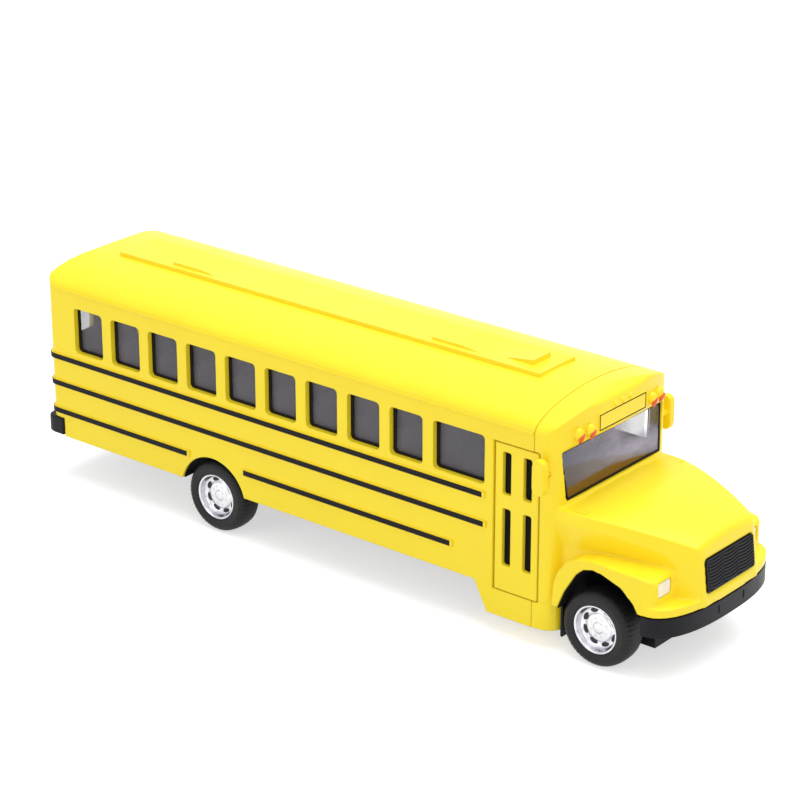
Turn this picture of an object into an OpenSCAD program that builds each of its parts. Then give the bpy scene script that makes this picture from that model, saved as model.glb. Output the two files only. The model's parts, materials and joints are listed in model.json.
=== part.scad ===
// Toy bus: cast body, hinged entry door and a wind-up drive on the rear axle.
// Frame: X forward, Y to the left, Z up; the origin is on the floor under the middle of the bus.

/* [Overall] */
// Length over both bumpers
overall_len = 215; // [205:1:235]
// Width over the body sides
body_w = 50; // [48:0.5:56]
// Height of the skirt's lower edge above the floor
skirt_z = 13.4; // [13.2:0.1:13.8]
// Height of the eaves, where the roof starts to curve
eave_z = 58.1; // [57:0.1:62]
// Rise of the roof above the eaves
roof_rise = 6.8; // [6:0.1:9]
// Wall thickness of the castings
wall = 1.6; // [1.5:0.1:1.8]

/* [Body] */
// Depth of the rear bumper behind the rear wall
rear_bumper_d = 2; // [1.5:0.1:3]
// Radius of the upright rear corners
rear_corner_r = 3; // [2:0.1:4]
// Radius of the rear roof edge
roof_edge_r = 4.5; // [3:0.1:5]
// Height of the rounded roof edge above the header
header_edge_h = 2.6; // [2:0.1:3.5]
// Length of the rounded edges behind the header's face
header_edge_len = 5; // [4:0.1:6]
// Radius of the step well's front corner
cab_corner_r = 5.5; // [4.5:0.1:6]
// Depth of the front's bow, from its middle back to the body sides
cab_bow = 6; // [5.5:0.1:6.5]
// Length of the nose, from the cowl to the front bumper
nose_len = 35.4; // [34.5:0.1:36.5]
// Length of the front cap behind the cowl, up to the seam over the roof
cap_len = 7.6; // [7:0.1:9]
// Height of the raised panel on the roof
roof_panel_h = 0.6; // [0.4:0.1:1]
// Width of the raised panel on the roof
roof_panel_w = 15; // [12:0.5:18]
// Height of the roof hatches above the panel
hatch_h = 0.6; // [0.4:0.1:1]
// Height of the fin vent above the panel
vent_h = 1.2; // [0.8:0.1:1.6]

/* [Windows] */
// Number of small windows on each side
window_count = 9; // [6:1:10]
// Width of the posts between the small windows
window_post = 3.4; // [2.5:0.1:5]
// Height of the window sills
window_z = 40.3; // [40:0.1:42]
// Distance of the windows' tops below the eaves
window_drop = 4.6; // [4:0.1:6]
// Corner radius of the windows
window_r = 1.2; // [0.6:0.1:2]
// Distance from the rear wall to the first window
window_first = 11; // [8:0.5:16]
// Width of the large front side window
large_window_w = 16.4; // [14:0.1:18]
// Post between the large window and the doorway
large_window_post = 2.7; // [2:0.1:4]
// Width of the pillars beside the windscreen's top edge
pillar_top_w = 3.25; // [3:0.05:4.5]
// Width of the pillars beside the windscreen's sill
pillar_sill_w = 4.8; // [4:0.1:6]
// Lean of the windscreen, forward at its sill
windscreen_lean = 1.4; // [1:0.1:2]
// Overhang of the header above the windscreen
header_d = 1; // [0.6:0.1:1.6]
// Thickness of the clear panes
pane_t = 0.8; // [0.6:0.1:0.9]

/* [Rear] */
// Width of the windows beside the rear door
rear_window_w = 10.5; // [9:0.1:11]
// Width of the rear emergency door
rear_door_w = 14; // [13:0.1:15]
// Height of the rear door's edge above the rear wall
rear_door_t = 0.4; // [0.2:0.1:0.6]
// Radius of the rear lamps
rear_lamp_r = 1.7; // [1.2:0.1:2]

/* [Door] */
// Width of the doorway
door_w = 14.3; // [13:0.1:15]
// Height of the doorway's sill above the floor
door_z = 12.6; // [12:0.1:13]
// Distance of the doorway's top below the windows' tops
door_drop = 0.2; // [0:0.1:1]
// Distance from the cowl back to the front of the doorway
door_setback = 5.7; // [5:0.1:6.5]
// Thickness of the door
door_t = 1.4; // [1.2:0.1:1.5]
// Radius of the hinge barrel along the door's rear edge
barrel_r = 0.8; // [0.75:0.01:0.8]
// Radius of the hinge pin
hinge_pin_r = 0.4; // [0.3:0.05:0.45]
// Width of the slots in the door
slot_w = 2.6; // [2:0.1:3]
// Height of the step well's floor
step_z = 5.4; // [5:0.1:6]
// Depth of the step well, inward from the body side
step_d = 9; // [7:0.1:10]

/* [Rub rails] */
// Height of the rails above the body sides
rail_t = 0.5; // [0.3:0.1:0.8]
// Height of the low rail's middle
low_rail_z = 21.2; // [21:0.1:22]
// Height of the middle rail's middle
mid_rail_z = 29.6; // [28:0.1:31]
// Height of the high rail's middle
high_rail_z = 37.6; // [36:0.1:38]
// Height of each rail's face
rail_h = 1.7; // [1:0.1:2]

/* [Nose] */
// Height of the hood's edge at the cowl
hood_rear_z = 38.9; // [38:0.1:39.3]
// Height of the hood's edge at the grille
hood_front_z = 34.3; // [33.5:0.1:35.5]
// Distance of the hood's edge at the cowl inside the body sides
hood_rear_inset = 2.3; // [1.8:0.1:3]
// Half width of the hood's edge at the grille
hood_front_hw = 12.3; // [12:0.1:13]
// Crown of the hood above its edges
hood_crown = 1.3; // [0.8:0.1:2]
// Height of the fender tops
fender_z = 29; // [28.6:0.1:30.5]
// Distance of the fender's face ahead of the front wheel arch
fender_ahead = 3.2; // [2.7:0.1:3.7]
// Height of the ledge under the headlights
ledge_z = 21.2; // [20.8:0.1:21.6]
// Width of the grille
grille_w = 20.8; // [19:0.1:21.5]
// Height of the grille
grille_h = 8.6; // [8:0.1:9]
// Height of the grille's lower edge
grille_z = 22.3; // [22:0.1:22.8]
// Width of a headlight lens
lamp_w = 5.4; // [5:0.1:6]
// Height of a headlight lens
lamp_h = 3.8; // [3.5:0.1:4.4]

/* [Bumpers] */
// Height of the front bumper's lower edge
bumper_z = 13.6; // [13.4:0.1:14]
// Height of the front bumper
bumper_h = 5; // [4.6:0.1:5.2]
// Thickness of the bumpers
bumper_t = 2.4; // [2:0.1:2.6]

/* [Mirrors] */
// Width of a mirror head
mirror_w = 3.6; // [3:0.1:4.2]
// Height of a mirror head
mirror_h = 9.6; // [8:0.1:11]
// Thickness of a mirror head
mirror_t = 2; // [1.5:0.1:2.5]
// Length of a mirror's stalk outside the body
stalk_len = 1.4; // [1.2:0.1:3]

/* [Wheels] */
// Tyre radius
tyre_r = 10.25; // [10:0.05:10.4]
// Tyre width
tyre_w = 8; // [7:0.1:8.3]
// Rim radius, where the tyre sits
rim_r = 6.9; // [6.4:0.1:7.4]
// Distance from the rear end to the rear axle
rear_overhang = 64.1; // [60:0.5:68]
// Distance from the cowl forward to the front axle
front_axle_ahead = 11.3; // [11:0.1:11.8]
// Distance of the tyres' outer faces inside the body sides
wheel_inset = 0.5; // [0.3:0.1:1]
// Axle radius
axle_r = 1.2; // [1:0.05:1.3]
// Radius of the rear wheel arch
rear_arch_r = 11.75; // [11.5:0.05:12.5]

/* [Chassis and cabin] */
// Height of the chassis plate's underside
plate_z = 14; // [13.8:0.1:14.4]
// Thickness of the chassis plate
plate_t = 2.2; // [2:0.1:2.4]
// Height of the front guard's underside
guard_z = 4.4; // [4:0.1:5]
// Height of the cabin floor's underside
floor_z = 23.2; // [23.1:0.1:24]
// Thickness of the cabin floor
floor_t = 1.4; // [1:0.1:2]
// Distance of the benches' tops below the windows' tops
bench_drop = 7.5; // [5:0.5:10]
// Height of the bench cushions
cushion_top_z = 32; // [30:0.5:34]
// Radius of the screw shanks
screw_r = 1; // [0.8:0.05:1.2]
// Radius of the screw heads
screw_head_r = 2; // [1.8:0.05:2.2]
// Radius of the steering wheel
steering_r = 4.6; // [4:0.1:5]

/* [Drive] */
// Gear module, pitch diameter over teeth
gear_module = 0.6; // [0.57:0.01:0.6]
// Teeth on the axle gear
axle_teeth = 10; // [9:1:10]
// Teeth on the compound gear's wheel
wheel_teeth = 20; // [18:1:20]
// Teeth on the compound gear's pinion
pinion_teeth = 10; // [9:1:11]
// Teeth on the spring gear
spring_teeth = 22; // [20:1:22]
// Thickness of each gear
gear_t = 3; // [2.4:0.1:3.2]
// Wall thickness of the drive case
case_wall = 1.2; // [1:0.1:1.4]
// Thickness of the mainspring's strip
spring_t = 0.3; // [0.2:0.05:0.4]
// Turns of the mainspring
spring_turns = 4; // [3:1:5]

/* [Fits] */
// Radial clearance of turning shafts and pins
run_fit = 0.06; // [0.03:0.01:0.1]
// Radial clearance of pressed or screwed fits
press_fit = 0.02; // [0.01:0.01:0.03]
// Gap round the door and other moving pieces
move_gap = 0.35; // [0.3:0.05:0.4]
// Gap round pieces that drop into a recess
seat_gap = 0.15; // [0.1:0.05:0.2]

/* [Hidden] */

// Paint and plastic colours
paint_yellow = "#ffdc28";
trim_black = "#2b2a2e";
cabin_grey = "#6f6d77";
steel_grey = "#b9bcc4";
rim_silver = "#dcdce6";
drive_white = "#e8e4d8";
lens_white = "#f6ecec";
pane_clear = "#cfe0e6";
pane_alpha = 0.4;

// Facets of round shapes, and steps along corners, the roof's arch, the hood, gear flanks and a spring turn
$fn = 48;
corner_steps = 5;
arch_steps = 32;
hood_steps = 12;
crown_steps = 4;
flank_steps = 3;
spring_steps = 24;
edge_steps = 3;
// One overrun for all cuts
over = wall;
// The two sides of the bus
RIGHT = -1;
LEFT = 1;

// Places along the bus
rear_x = -overall_len / 2;
front_x = overall_len / 2;
body_x = rear_x + rear_bumper_d;
cowl_x = front_x - nose_len;
seam_x = cowl_x - cap_len;
door_front_x = cowl_x - door_setback;
door_rear_x = door_front_x - door_w;
large_window_x = door_rear_x - large_window_post - large_window_w;
first_window_x = body_x + window_first;
rear_axle_x = rear_x + rear_overhang;
front_axle_x = cowl_x + front_axle_ahead;

// Body section
half_w = body_w / 2;
inner_hw = half_w - wall;
roof_top_z = eave_z + roof_rise;
roof_power = 1.9;
window_top_z = eave_z - window_drop;
window_h = window_top_z - window_z;
window_pitch = (large_window_x - first_window_x) / window_count;
window_w = window_pitch - window_post;
driver_window_margin = 2;
windscreen_top_w = body_w - 2 * pillar_top_w;
windscreen_sill_w = body_w - 2 * pillar_sill_w;

// Header over the windscreen
header_z = window_top_z + wall;
header_x = cowl_x + header_d;
cab_power = 2.5;
sign_w = 20;
sign_h = 4.4;
sign_t = 0.3;
sign_rise = 0.2;
sign_z = eave_z + sign_rise;
beacon_r = 1.4;
beacon_t = 1.1;
beacon_drop = 0.7;
beacon_z = eave_z - beacon_drop;
beacon_insets = [7.7, 11.7];
marker_r = 0.6;
marker_t = 0.6;
marker_rise = 3.4;
marker_z = eave_z + marker_rise;
marker_gap = 3.2;

// Roof details: panel, two hatches with a ramp in front, fin vent
roof_panel_rear = 12.5;
roof_panel_front = 19;
roof_panel_x0 = body_x + roof_panel_rear;
roof_panel_x1 = cowl_x - roof_panel_front;
hatch_w = 11;
hatch_len = 9.5;
hatch_ramp = 6;
hatch_inset = 18.5;
front_hatch_back = 36;
hatch_xs = [roof_panel_x0 + hatch_inset, roof_panel_x1 - front_hatch_back];
vent_w = 7.2;
vent_len = 8.6;
vent_back = 13.5;
panel_z = roof_top_z + roof_panel_h;

// Rear wall details
rear_window_gap = 1.4;
rear_window_y = rear_door_w / 2 + rear_window_gap + rear_window_w / 2;
rear_door_margin = 1.5;
rear_door_z = 20.5;
rear_lamp_inset = 4.5;
rear_lamp_y = half_w - rear_lamp_inset;
rear_lamp_t = 0.6;
rear_lamp_zs = [27, 33];

// Doorway, hinge and step well
door_top_z = window_top_z - door_drop;
door_h = door_top_z - door_z;
hinge_x = door_rear_x + move_gap + barrel_r;
hinge_y = -half_w + barrel_r;
hinge_seat = 1.5;
slot_r = 0.6;
slot_rear_gap = 3;
slot_pitch = 6.4;
upper_slot_z = 39.4;
upper_slot_drop = 2.4;
upper_slot_h = door_top_z - upper_slot_drop - upper_slot_z;
lower_slot_z = 19.9;
lower_slot_h = 15.7;
step_back = 5.7;
step_slant = 4.1;
step_front = 0.4;
step_rim = 1;
step_rear_x = door_rear_x - step_back;
step_front_x = cowl_x - step_front;

// Rub rails: middle height and setback of the front end behind the doorway
rail_zs = [low_rail_z, mid_rail_z, high_rail_z];
rail_setbacks = [12.5, 1.9, 2.4];
low_rail_gap_back = 8.2;
low_rail_gap_front = 11;

// Nose: hood, fenders, ledge
nose_floor_z = bumper_z + bumper_h + move_gap;
hood_face_back = 2;
hood_taper_start = 2.4;
hood_face_x = front_x - hood_face_back;
hood_x0 = header_x - cab_bow;
hood_taper_x = cowl_x + hood_taper_start;
hood_rear_hw = half_w - hood_rear_inset;
hood_base_inset = 4;
hood_base_rear_hw = half_w - hood_base_inset;
hood_edge_r = 1.6;
hood_ridge_drop = 2.8;
hood_ridge_out = 0.6;
hood_ridge_fall = 2;
hood_base_front_hw = 14;
hood_crown_share = 0.4;
hood_rear_crown_share = 0.8;
hood_width_power = 1.4;
hood_height_power = 1.8;
hood_lean_power = 6;
nose_lean_d = 1.8;
fender_back = 1.6;
fender_x0 = cowl_x - fender_back;
fender_corner_r = 3;
fender_shares = [
  [0, 0], [0.02, 0.42], [0.06, 0.63], [0.14, 0.83], [0.26, 0.96], [0.4, 1],
  [0.92, 0.97], [0.98, 0.92], [1, 0.85], [1, 0]
];
arch_back = 11.5;
arch_front = 13.9;
arch_low_z = 10;
arch_top_z = 26.6;
arch_shares = [
  [0, 0], [0.01, 0.19], [0.09, 0.49], [0.23, 0.84], [0.32, 0.96], [0.42, 1],
  [0.52, 0.99], [0.76, 0.87], [0.91, 0.67], [0.98, 0.49], [1, 0]
];
arch_x0 = front_axle_x - arch_back;
arch_x1 = front_axle_x + arch_front;
fender_x1 = arch_x1 + fender_ahead;
ledge_d = 6.4;
bumper_power = 2.5;
bumper_end_x = arch_x1;
bumper_sweep = front_x - bumper_end_x;

// Grille and headlights
grille_r = 0.8;
grille_t = 1.4;
grille_proud = 0.3;
grille_lean = atan(nose_lean_d / (hood_front_z - nose_floor_z));
grille_rib_rows = 9;
grille_columns = 3;
grille_rib_t = 0.35;
grille_rib_share = 0.5;
grille_rim = 0.9;
grille_mid_z = grille_z + grille_h / 2;
grille_x = hood_face_x + nose_lean_d * (hood_front_z - grille_mid_z) / (hood_front_z - nose_floor_z);
lamp_inset = 5.8;
lamp_y = half_w - lamp_inset;
lamp_z = 24.9;
lamp_t = 1.4;
lamp_recess = 0.5;
lamp_r = 0.7;

// Mirrors
mirror_r = 1.7;
mirror_drop = 9.9;
mirror_z = eave_z - mirror_drop;
mirror_x = door_front_x + mirror_w / 2;
stalk_r = 0.8;

// Wheels and axles
hub_z = tyre_r;
tyre_face_y = half_w - wheel_inset;
tyre_back_y = tyre_face_y - tyre_w;
shoulder_r = 1.6;
rim_inset = 0.4;
rim_w = tyre_w - rim_inset;
rim_lip = 0.9;
rim_dish_d = 2.2;
rim_dish_r = 4.9;
rim_disc_r = 3.9;
rim_disc_drop = 0.7;
rim_cap_r = 1.3;
rim_cap_t = 0.5;
rim_slots = 8;
rim_slot_w = 0.8;
rim_slot_l = 1.3;
axle_cover = 2.4;
axle_end_y = tyre_back_y + rim_w - axle_cover - rim_disc_drop;
wheel_gap = 1.2;

// Chassis plate and axle carriers
plate_top_z = plate_z + plate_t;
plate_hw = inner_hw - move_gap;
plate_x0 = body_x + wall + move_gap;
carrier_hw = tyre_back_y - wheel_gap - move_gap;
carrier_w = 4;
carrier_len = 7;
carrier_drop = 2.6;
front_frame_hw = carrier_hw - wall;
arch_wall_t = 1.2;
mudguard_t = 0.6;
mudguard_inset = 2.2;
mudguard_hw = half_w - mudguard_inset;
guard_front = 10.8;
guard_len = 6;
tongue_hw = 8;
tongue_t = 1.6;
tongue_back = 4;
tongue_front = 3;
chassis_front_x = front_x - bumper_t - tongue_front;
rear_notch_len = 5.2;
rear_bumper_h = 5;
rear_bumper_z = bumper_z + seat_gap;
rear_bumper_hw = half_w + rail_t;

// Screws: two into posts under the roof, one into a post under the hood
rear_screw_back = 13.5;
mid_screw_back = 9;
front_screw_ahead = 12.5;
rear_screw_x = body_x + rear_screw_back;
mid_screw_x = door_rear_x - mid_screw_back;
front_screw_x = front_axle_x + front_screw_ahead;
floor_top_z = floor_z + floor_t;
tongue_top_z = plate_top_z + tongue_t;
post_r = 2.4;
boss_r = 3;
screw_bite = 7;
screw_head_t = 1;
screw_sets = [
  [rear_screw_x, floor_top_z], [mid_screw_x, floor_top_z], [front_screw_x, tongue_top_z]
];

// Cabin: benches in rows at the windows' pitch, driver's seat, dashboard, steering wheel
tub_hw = inner_hw - move_gap;
tub_x0 = body_x + rear_corner_r + move_gap;
dash_d = 6;
tub_x1 = cowl_x - wall - windscreen_lean - dash_d - seat_gap;
bench_aisle = 9;
bench_top_z = window_top_z - bench_drop;
bench_d = 8.4;
bench_back_t = 2.2;
bench_margin = 0.8;
driver_inset = 12.05;
driver_y = tub_hw - driver_inset;
driver_w = 10;
driver_back = 22;
dash_drop = 1.3;
dash_z = window_z - dash_drop;
dash_inset = 3.9;
dash_hw = inner_hw - dash_inset;
tub_wall_t = 1;
tub_wall_drop = 0.4;
glazing_hw = inner_hw - seat_gap;
glazing_margin = 1.6;
steering_t = 0.9;
steering_tilt = 55;
column_r = 0.9;
column_len = 5;
column_seat = 2;
steering_z = 41.2;
spoke_angles = [90, 210, 330];

// Drive: case, three shafts, two gear layers and a spring layer
gear_slack = 0.1;
backlash = 0.14;
pressure_angle = 20;
addendum_share = 0.95;
dedendum_share = 1.25;
layer_gap = 0.6;
case_gap = 0.6;
compound_angle = 22;
compound_pin_r = 0.8;
arbor_r = 1.2;
spring_layer_w = 2.6;
spring_core_gap = 0.5;
case_flange = 3;
case_flange_t = 1.2;
axle_mesh = gear_module * (axle_teeth + wheel_teeth) / 2 + gear_slack;
spring_mesh = gear_module * (pinion_teeth + spring_teeth) / 2 + gear_slack;
compound_x = rear_axle_x + axle_mesh * cos(compound_angle);
compound_z = hub_z + axle_mesh * sin(compound_angle);
spring_x = compound_x + spring_mesh;
spring_z = compound_z;
wheel_y = -gear_t - layer_gap / 2 - case_gap;
pinion_y = wheel_y + gear_t + layer_gap;
spring_y = pinion_y + gear_t + layer_gap;
cavity_y0 = wheel_y - case_gap;
cavity_y1 = spring_y + spring_layer_w + case_gap;
case_y0 = cavity_y0 - case_wall;
case_y1 = cavity_y1 + case_wall;
split_y = (cavity_y0 + cavity_y1) / 2;
spring_gear_r = gear_module * (spring_teeth / 2 + addendum_share);
axle_gear_r = gear_module * (axle_teeth / 2 + addendum_share);
cavity_x0 = rear_axle_x - axle_gear_r - case_gap;
cavity_x1 = spring_x + spring_gear_r + case_gap;
cavity_z0 = min(hub_z - axle_gear_r, spring_z - spring_gear_r) - case_gap;
cavity_z1 = spring_z + spring_gear_r + case_gap;

// Points along an arc, and a rectangle with round corners about the origin
function arc(cx, cy, r, a0, a1) = [
  for (k = [0:corner_steps])
    let (a = a0 + (a1 - a0) * k / corner_steps) [cx + r * cos(a), cy + r * sin(a)]
];
function rounded(w, h, r) = concat(
  arc(w / 2 - r, h / 2 - r, r, 0, 90), arc(r - w / 2, h / 2 - r, r, 90, 180),
  arc(r - w / 2, r - h / 2, r, 180, 270), arc(w / 2 - r, r - h / 2, r, 270, 360)
);
function signed_power(v, p) = sign(v) * pow(abs(v), p);
// Half of a superellipse, from one side over the top to the other
function dome(hw, rise, power, base) = [
  for (k = [0:arch_steps])
    let (a = 180 * k / arch_steps)
      [hw * signed_power(cos(a), 2 / power), base + rise * signed_power(sin(a), 2 / power)]
];

// Extrusions of an outline along X, drawn in Y and Z, and along Y, drawn in X and Z
module along_x(x0, x1) {
  translate([x0, 0, 0]) rotate([90, 0, 90]) linear_extrude(x1 - x0) children();
}
module along_y(y0, y1) {
  translate([0, y1, 0]) rotate([90, 0, 0]) linear_extrude(y1 - y0) children();
}
module along_z(z0, z1) {
  translate([0, 0, z0]) linear_extrude(z1 - z0) children();
}
module block(low, high) {
  translate(low) cube(high - low);
}
module rod_y(x, z, r, y0, y1) {
  translate([x, y0, z]) rotate([-90, 0, 0]) cylinder(h = y1 - y0, r = r);
}
module on_both_sides() {
  for (side = [RIGHT, LEFT]) scale_side(side) children();
}
module scale_side(side) {
  if (side == LEFT) children();
  else mirror([0, 1, 0]) children();
}

// Body with its cavity: section, side view and plan, each drawn in by the same inset
module coach_solid(inset, low_z) {
  hw = half_w - inset;
  x0 = body_x + inset;
  xh = header_x - inset;
  edge_r = roof_edge_r - inset;
  top = roof_top_z - inset;
  intersection() {
    along_x(x0, xh)
      polygon(concat([[-hw, low_z], [hw, low_z]], dome(hw, roof_rise - inset, roof_power, eave_z)));
    along_y(-hw, hw) polygon(concat(
      [[x0, low_z]], arc(x0 + edge_r, top - edge_r, edge_r, 180, 90),
      header_edge(xh, top, header_edge_len - inset, header_edge_h * (1 - inset / header_edge_len)),
      [[xh, header_z + inset], [cowl_x - windscreen_lean - inset, header_z + inset - header_d],
       [cowl_x - inset, window_z], [cowl_x - inset, low_z]]
    ));
    along_z(low_z, roof_top_z) polygon(cab_plan(x0, xh, hw, rear_corner_r - inset, cab_bow - inset));
  }
}
// Rounded roof edge over the header, the bowed plan of the front, and the front's place at a given width
function header_edge(x1, top, len, h) = [
  for (k = [0:corner_steps])
    let (a = 90 * k / corner_steps) [x1 - len * (1 - sin(a)), top - h * (1 - cos(a))]
];
function cab_plan(x0, x1, hw, rear_r, bow) = concat(
  [for (p = dome(hw, bow, cab_power, x1 - bow)) [p[1], -p[0]]],
  arc(x0 + rear_r, hw - rear_r, rear_r, 90, 180), arc(x0 + rear_r, rear_r - hw, rear_r, 180, 270)
);
function cab_front_x(y) =
  header_x - cab_bow * (1 - pow(1 - pow(abs(y) / half_w, cab_power), 1 / cab_power));
function plan_outline(x0, x1, hw, rear_r, front_r) = concat(
  arc(x1 - front_r, hw - front_r, front_r, 0, 90), arc(x0 + rear_r, hw - rear_r, rear_r, 90, 180),
  arc(x0 + rear_r, rear_r - hw, rear_r, 180, 270), arc(x1 - front_r, front_r - hw, front_r, 270, 360)
);

// Step well under the doorway: a tray with a slanted rear end
module step_solid(inset) {
  intersection() {
    along_y(-half_w + inset, -half_w + step_d - inset) polygon([
      [step_rear_x + inset, skirt_z + step_rim + inset], [step_rear_x + inset, skirt_z],
      [step_rear_x + step_slant + inset, step_z + inset],
      [step_front_x - inset, step_z + inset], [step_front_x - inset, skirt_z + step_rim + inset]
    ]);
    along_z(step_z, roof_top_z) polygon(
      plan_outline(body_x, step_front_x - inset, half_w - inset, rear_corner_r, cab_corner_r - inset)
    );
  }
}

module side_openings() {
  for (i = [0:window_count - 1])
    translate([first_window_x + i * window_pitch + window_w / 2, 0, window_z + window_h / 2])
      along_y(inner_hw - over, half_w + over) polygon(rounded(window_w, window_h, window_r));
  translate([large_window_x + large_window_w / 2, 0, window_z + window_h / 2])
    along_y(inner_hw - over, half_w + over) polygon(rounded(large_window_w, window_h, window_r));
}
module driver_window() {
  translate([(door_rear_x + door_front_x) / 2, 0, window_z + window_h / 2])
    along_y(inner_hw - over, half_w + over)
      polygon(rounded(door_w - driver_window_margin, window_h, window_r));
}
module rear_openings() {
  for (y = [-rear_window_y, 0, rear_window_y])
    translate([0, y, window_z + window_h / 2])
      along_x(body_x - over, body_x + wall + over) polygon(rounded(rear_window_w, window_h, window_r));
}
module doorway() {
  block([door_rear_x, -half_w - over, door_z], [door_front_x, -inner_hw + over, door_top_z]);
}
module hinge_seats() {
  translate([hinge_x, hinge_y, door_z - hinge_seat])
    cylinder(h = door_h + 2 * hinge_seat, r = hinge_pin_r + press_fit);
}
module windscreen_outline(gap) {
  polygon([
    [-windscreen_sill_w / 2 + gap, window_z + gap], [windscreen_sill_w / 2 - gap, window_z + gap],
    [windscreen_top_w / 2 - gap, window_top_z - gap], [-windscreen_top_w / 2 + gap, window_top_z - gap]
  ]);
}
module rear_arches() {
  on_both_sides() rod_y(rear_axle_x, hub_z, rear_arch_r, tyre_back_y - wheel_gap, half_w + over);
}
// Rails that follow the rounded rear corners
module rail(z, x1) {
  z0 = z - rail_h / 2;
  z1 = z + rail_h / 2;
  intersection() {
    difference() {
      along_z(z0, z1) polygon(plan_outline(
        body_x - rail_t, cowl_x, half_w + rail_t, rear_corner_r + rail_t, rear_corner_r
      ));
      along_z(z0 - over, z1 + over) polygon(plan_outline(
        body_x + wall / 2, cowl_x, half_w - wall / 2, rear_corner_r - wall / 2, rear_corner_r
      ));
    }
    on_both_sides() block([body_x - over, half_w - rear_corner_r, z0], [x1, half_w + over, z1]);
  }
}
module rails() {
  for (i = [0:len(rail_zs) - 1])
    difference() {
      rail(rail_zs[i], door_rear_x - rail_setbacks[i]);
      if (i == 0)
        block([rear_axle_x - low_rail_gap_back, -half_w - over, 0],
              [rear_axle_x + low_rail_gap_front, half_w + over, mid_rail_z - rail_h]);
    }
}
module roof_details() {
  block([roof_panel_x0, -roof_panel_w / 2, eave_z + roof_rise / 2],
        [roof_panel_x1, roof_panel_w / 2, panel_z]);
  for (x = hatch_xs)
    along_y(-hatch_w / 2, hatch_w / 2) polygon([
      [x, roof_top_z], [x, panel_z + hatch_h], [x + hatch_len, panel_z + hatch_h],
      [x + hatch_len + hatch_ramp, panel_z], [x + hatch_len + hatch_ramp, roof_top_z]
    ]);
  vent_x = roof_panel_x1 - vent_back;
  along_y(-vent_w / 2, vent_w / 2) polygon([
    [vent_x, roof_top_z], [vent_x, panel_z], [vent_x + vent_len, panel_z + vent_h],
    [vent_x + vent_len, roof_top_z]
  ]);
}
module rear_details() {
  along_x(body_x - rear_door_t, body_x + wall / 2) difference() {
    translate([0, (rear_door_z + window_top_z + rear_door_margin) / 2])
      polygon(rounded(rear_door_w, window_top_z + rear_door_margin - rear_door_z, window_r));
    translate([0, window_z + window_h / 2]) polygon(rounded(rear_window_w, window_h, window_r));
  }
  for (z = rear_lamp_zs)
    on_both_sides()
      translate([body_x - rear_lamp_t, rear_lamp_y, z]) rotate([0, 90, 0])
        cylinder(h = rear_lamp_t + wall / 2, r = rear_lamp_r);
}
module roof_post(x) {
  z0 = floor_top_z + seat_gap;
  translate([x, 0, z0]) cylinder(h = roof_top_z - wall / 2 - z0, r = post_r);
}
module pilot_hole(x, z) {
  translate([x, 0, z - over]) cylinder(h = screw_bite + over, r = screw_r + press_fit);
}
module body_half_space(front) {
  span = overall_len;
  x0 = front ? seam_x : seam_x - span;
  block([x0, -span, -span], [x0 + span, span, span]);
}
module coach_walls() {
  difference() {
    union() {
      difference() {
        coach_solid(0, skirt_z);
        coach_solid(wall, skirt_z - over);
      }
      difference() {
        step_solid(0);
        step_solid(wall);
        coach_solid(wall, skirt_z - over);
      }
    }
    doorway();
    hinge_seats();
  }
}

module body_shell() {
  color(paint_yellow) difference() {
    union() {
      intersection() {
        coach_walls();
        body_half_space(false);
      }
      rails();
      roof_details();
      rear_details();
      roof_post(rear_screw_x);
      roof_post(mid_screw_x);
    }
    on_both_sides() side_openings();
    intersection() {
      driver_window();
      body_half_space(false);
    }
    rear_openings();
    rear_arches();
    block([body_x - over, -half_w - over, skirt_z - over],
          [body_x + rear_notch_len, half_w + over, rear_bumper_z + rear_bumper_h + seat_gap]);
    pilot_hole(rear_screw_x, floor_top_z);
    pilot_hole(mid_screw_x, floor_top_z);
  }
}

// Hood: rings across the nose, each with base, ridge, edge and crown, that narrow towards the grille
function hood_share(x) = max(0, (x - hood_taper_x) / (hood_face_x - hood_taper_x));
function hood_hw(t) = hood_rear_hw - (hood_rear_hw - hood_front_hw) * pow(t, hood_width_power);
function hood_z(t) = hood_rear_z - (hood_rear_z - hood_front_z) * pow(t, hood_height_power);
function hood_ridge_z(t) = hood_z(t) - hood_ridge_drop - hood_ridge_fall * t * t;
function hood_base_hw(t) = hood_base_rear_hw - (hood_base_rear_hw - hood_base_front_hw) * t;
function hood_lean(t) = nose_lean_d * pow(t, hood_lean_power) / (hood_front_z - nose_floor_z);
function hood_top(hw, z, crown) = [
  for (k = [-crown_steps:crown_steps])
    let (share = k / crown_steps) [hw * share, z + crown * (1 - share * share)]
];
function hood_crown_rise(t) =
  hood_rear_crown_share + (1 - hood_rear_crown_share) * min(1, t / hood_crown_share);
function hood_section(t, inset, low_z) =
  let (hw = hood_hw(t) - inset, ridge_hw = hw + hood_ridge_out,
       base_hw = min(ridge_hw, hood_base_hw(t) - inset),
       ridge_z = hood_ridge_z(t) - inset, base_z = fender_z - inset)
    concat(
      [[-base_hw, low_z], [-base_hw, base_z], [-ridge_hw, ridge_z]],
      hood_top(hw, hood_z(t) - inset, hood_crown * hood_crown_rise(t)),
      [[ridge_hw, ridge_z], [base_hw, base_z], [base_hw, low_z]]
    );
function hood_ring(x, inset, low_z) =
  let (t = hood_share(x))
    [for (p = hood_section(t, inset, low_z)) [x + hood_lean(t) * (hood_z(t) - p[1]), p[0], p[1]]];
module loft(rings) {
  n = len(rings[0]);
  last = len(rings) - 1;
  polyhedron(
    points = [for (ring = rings) for (p = ring) p],
    faces = concat(
      [for (i = [1:n - 2]) [0, i + 1, i]],
      [for (i = [1:n - 2]) [last * n, last * n + i, last * n + i + 1]],
      [for (j = [0:last - 1]) for (i = [0:n - 1])
        let (a = j * n + i, b = j * n + (i + 1) % n) each [[a, b, a + n], [b, b + n, a + n]]]
    ), convexity = 4);
}
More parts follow.
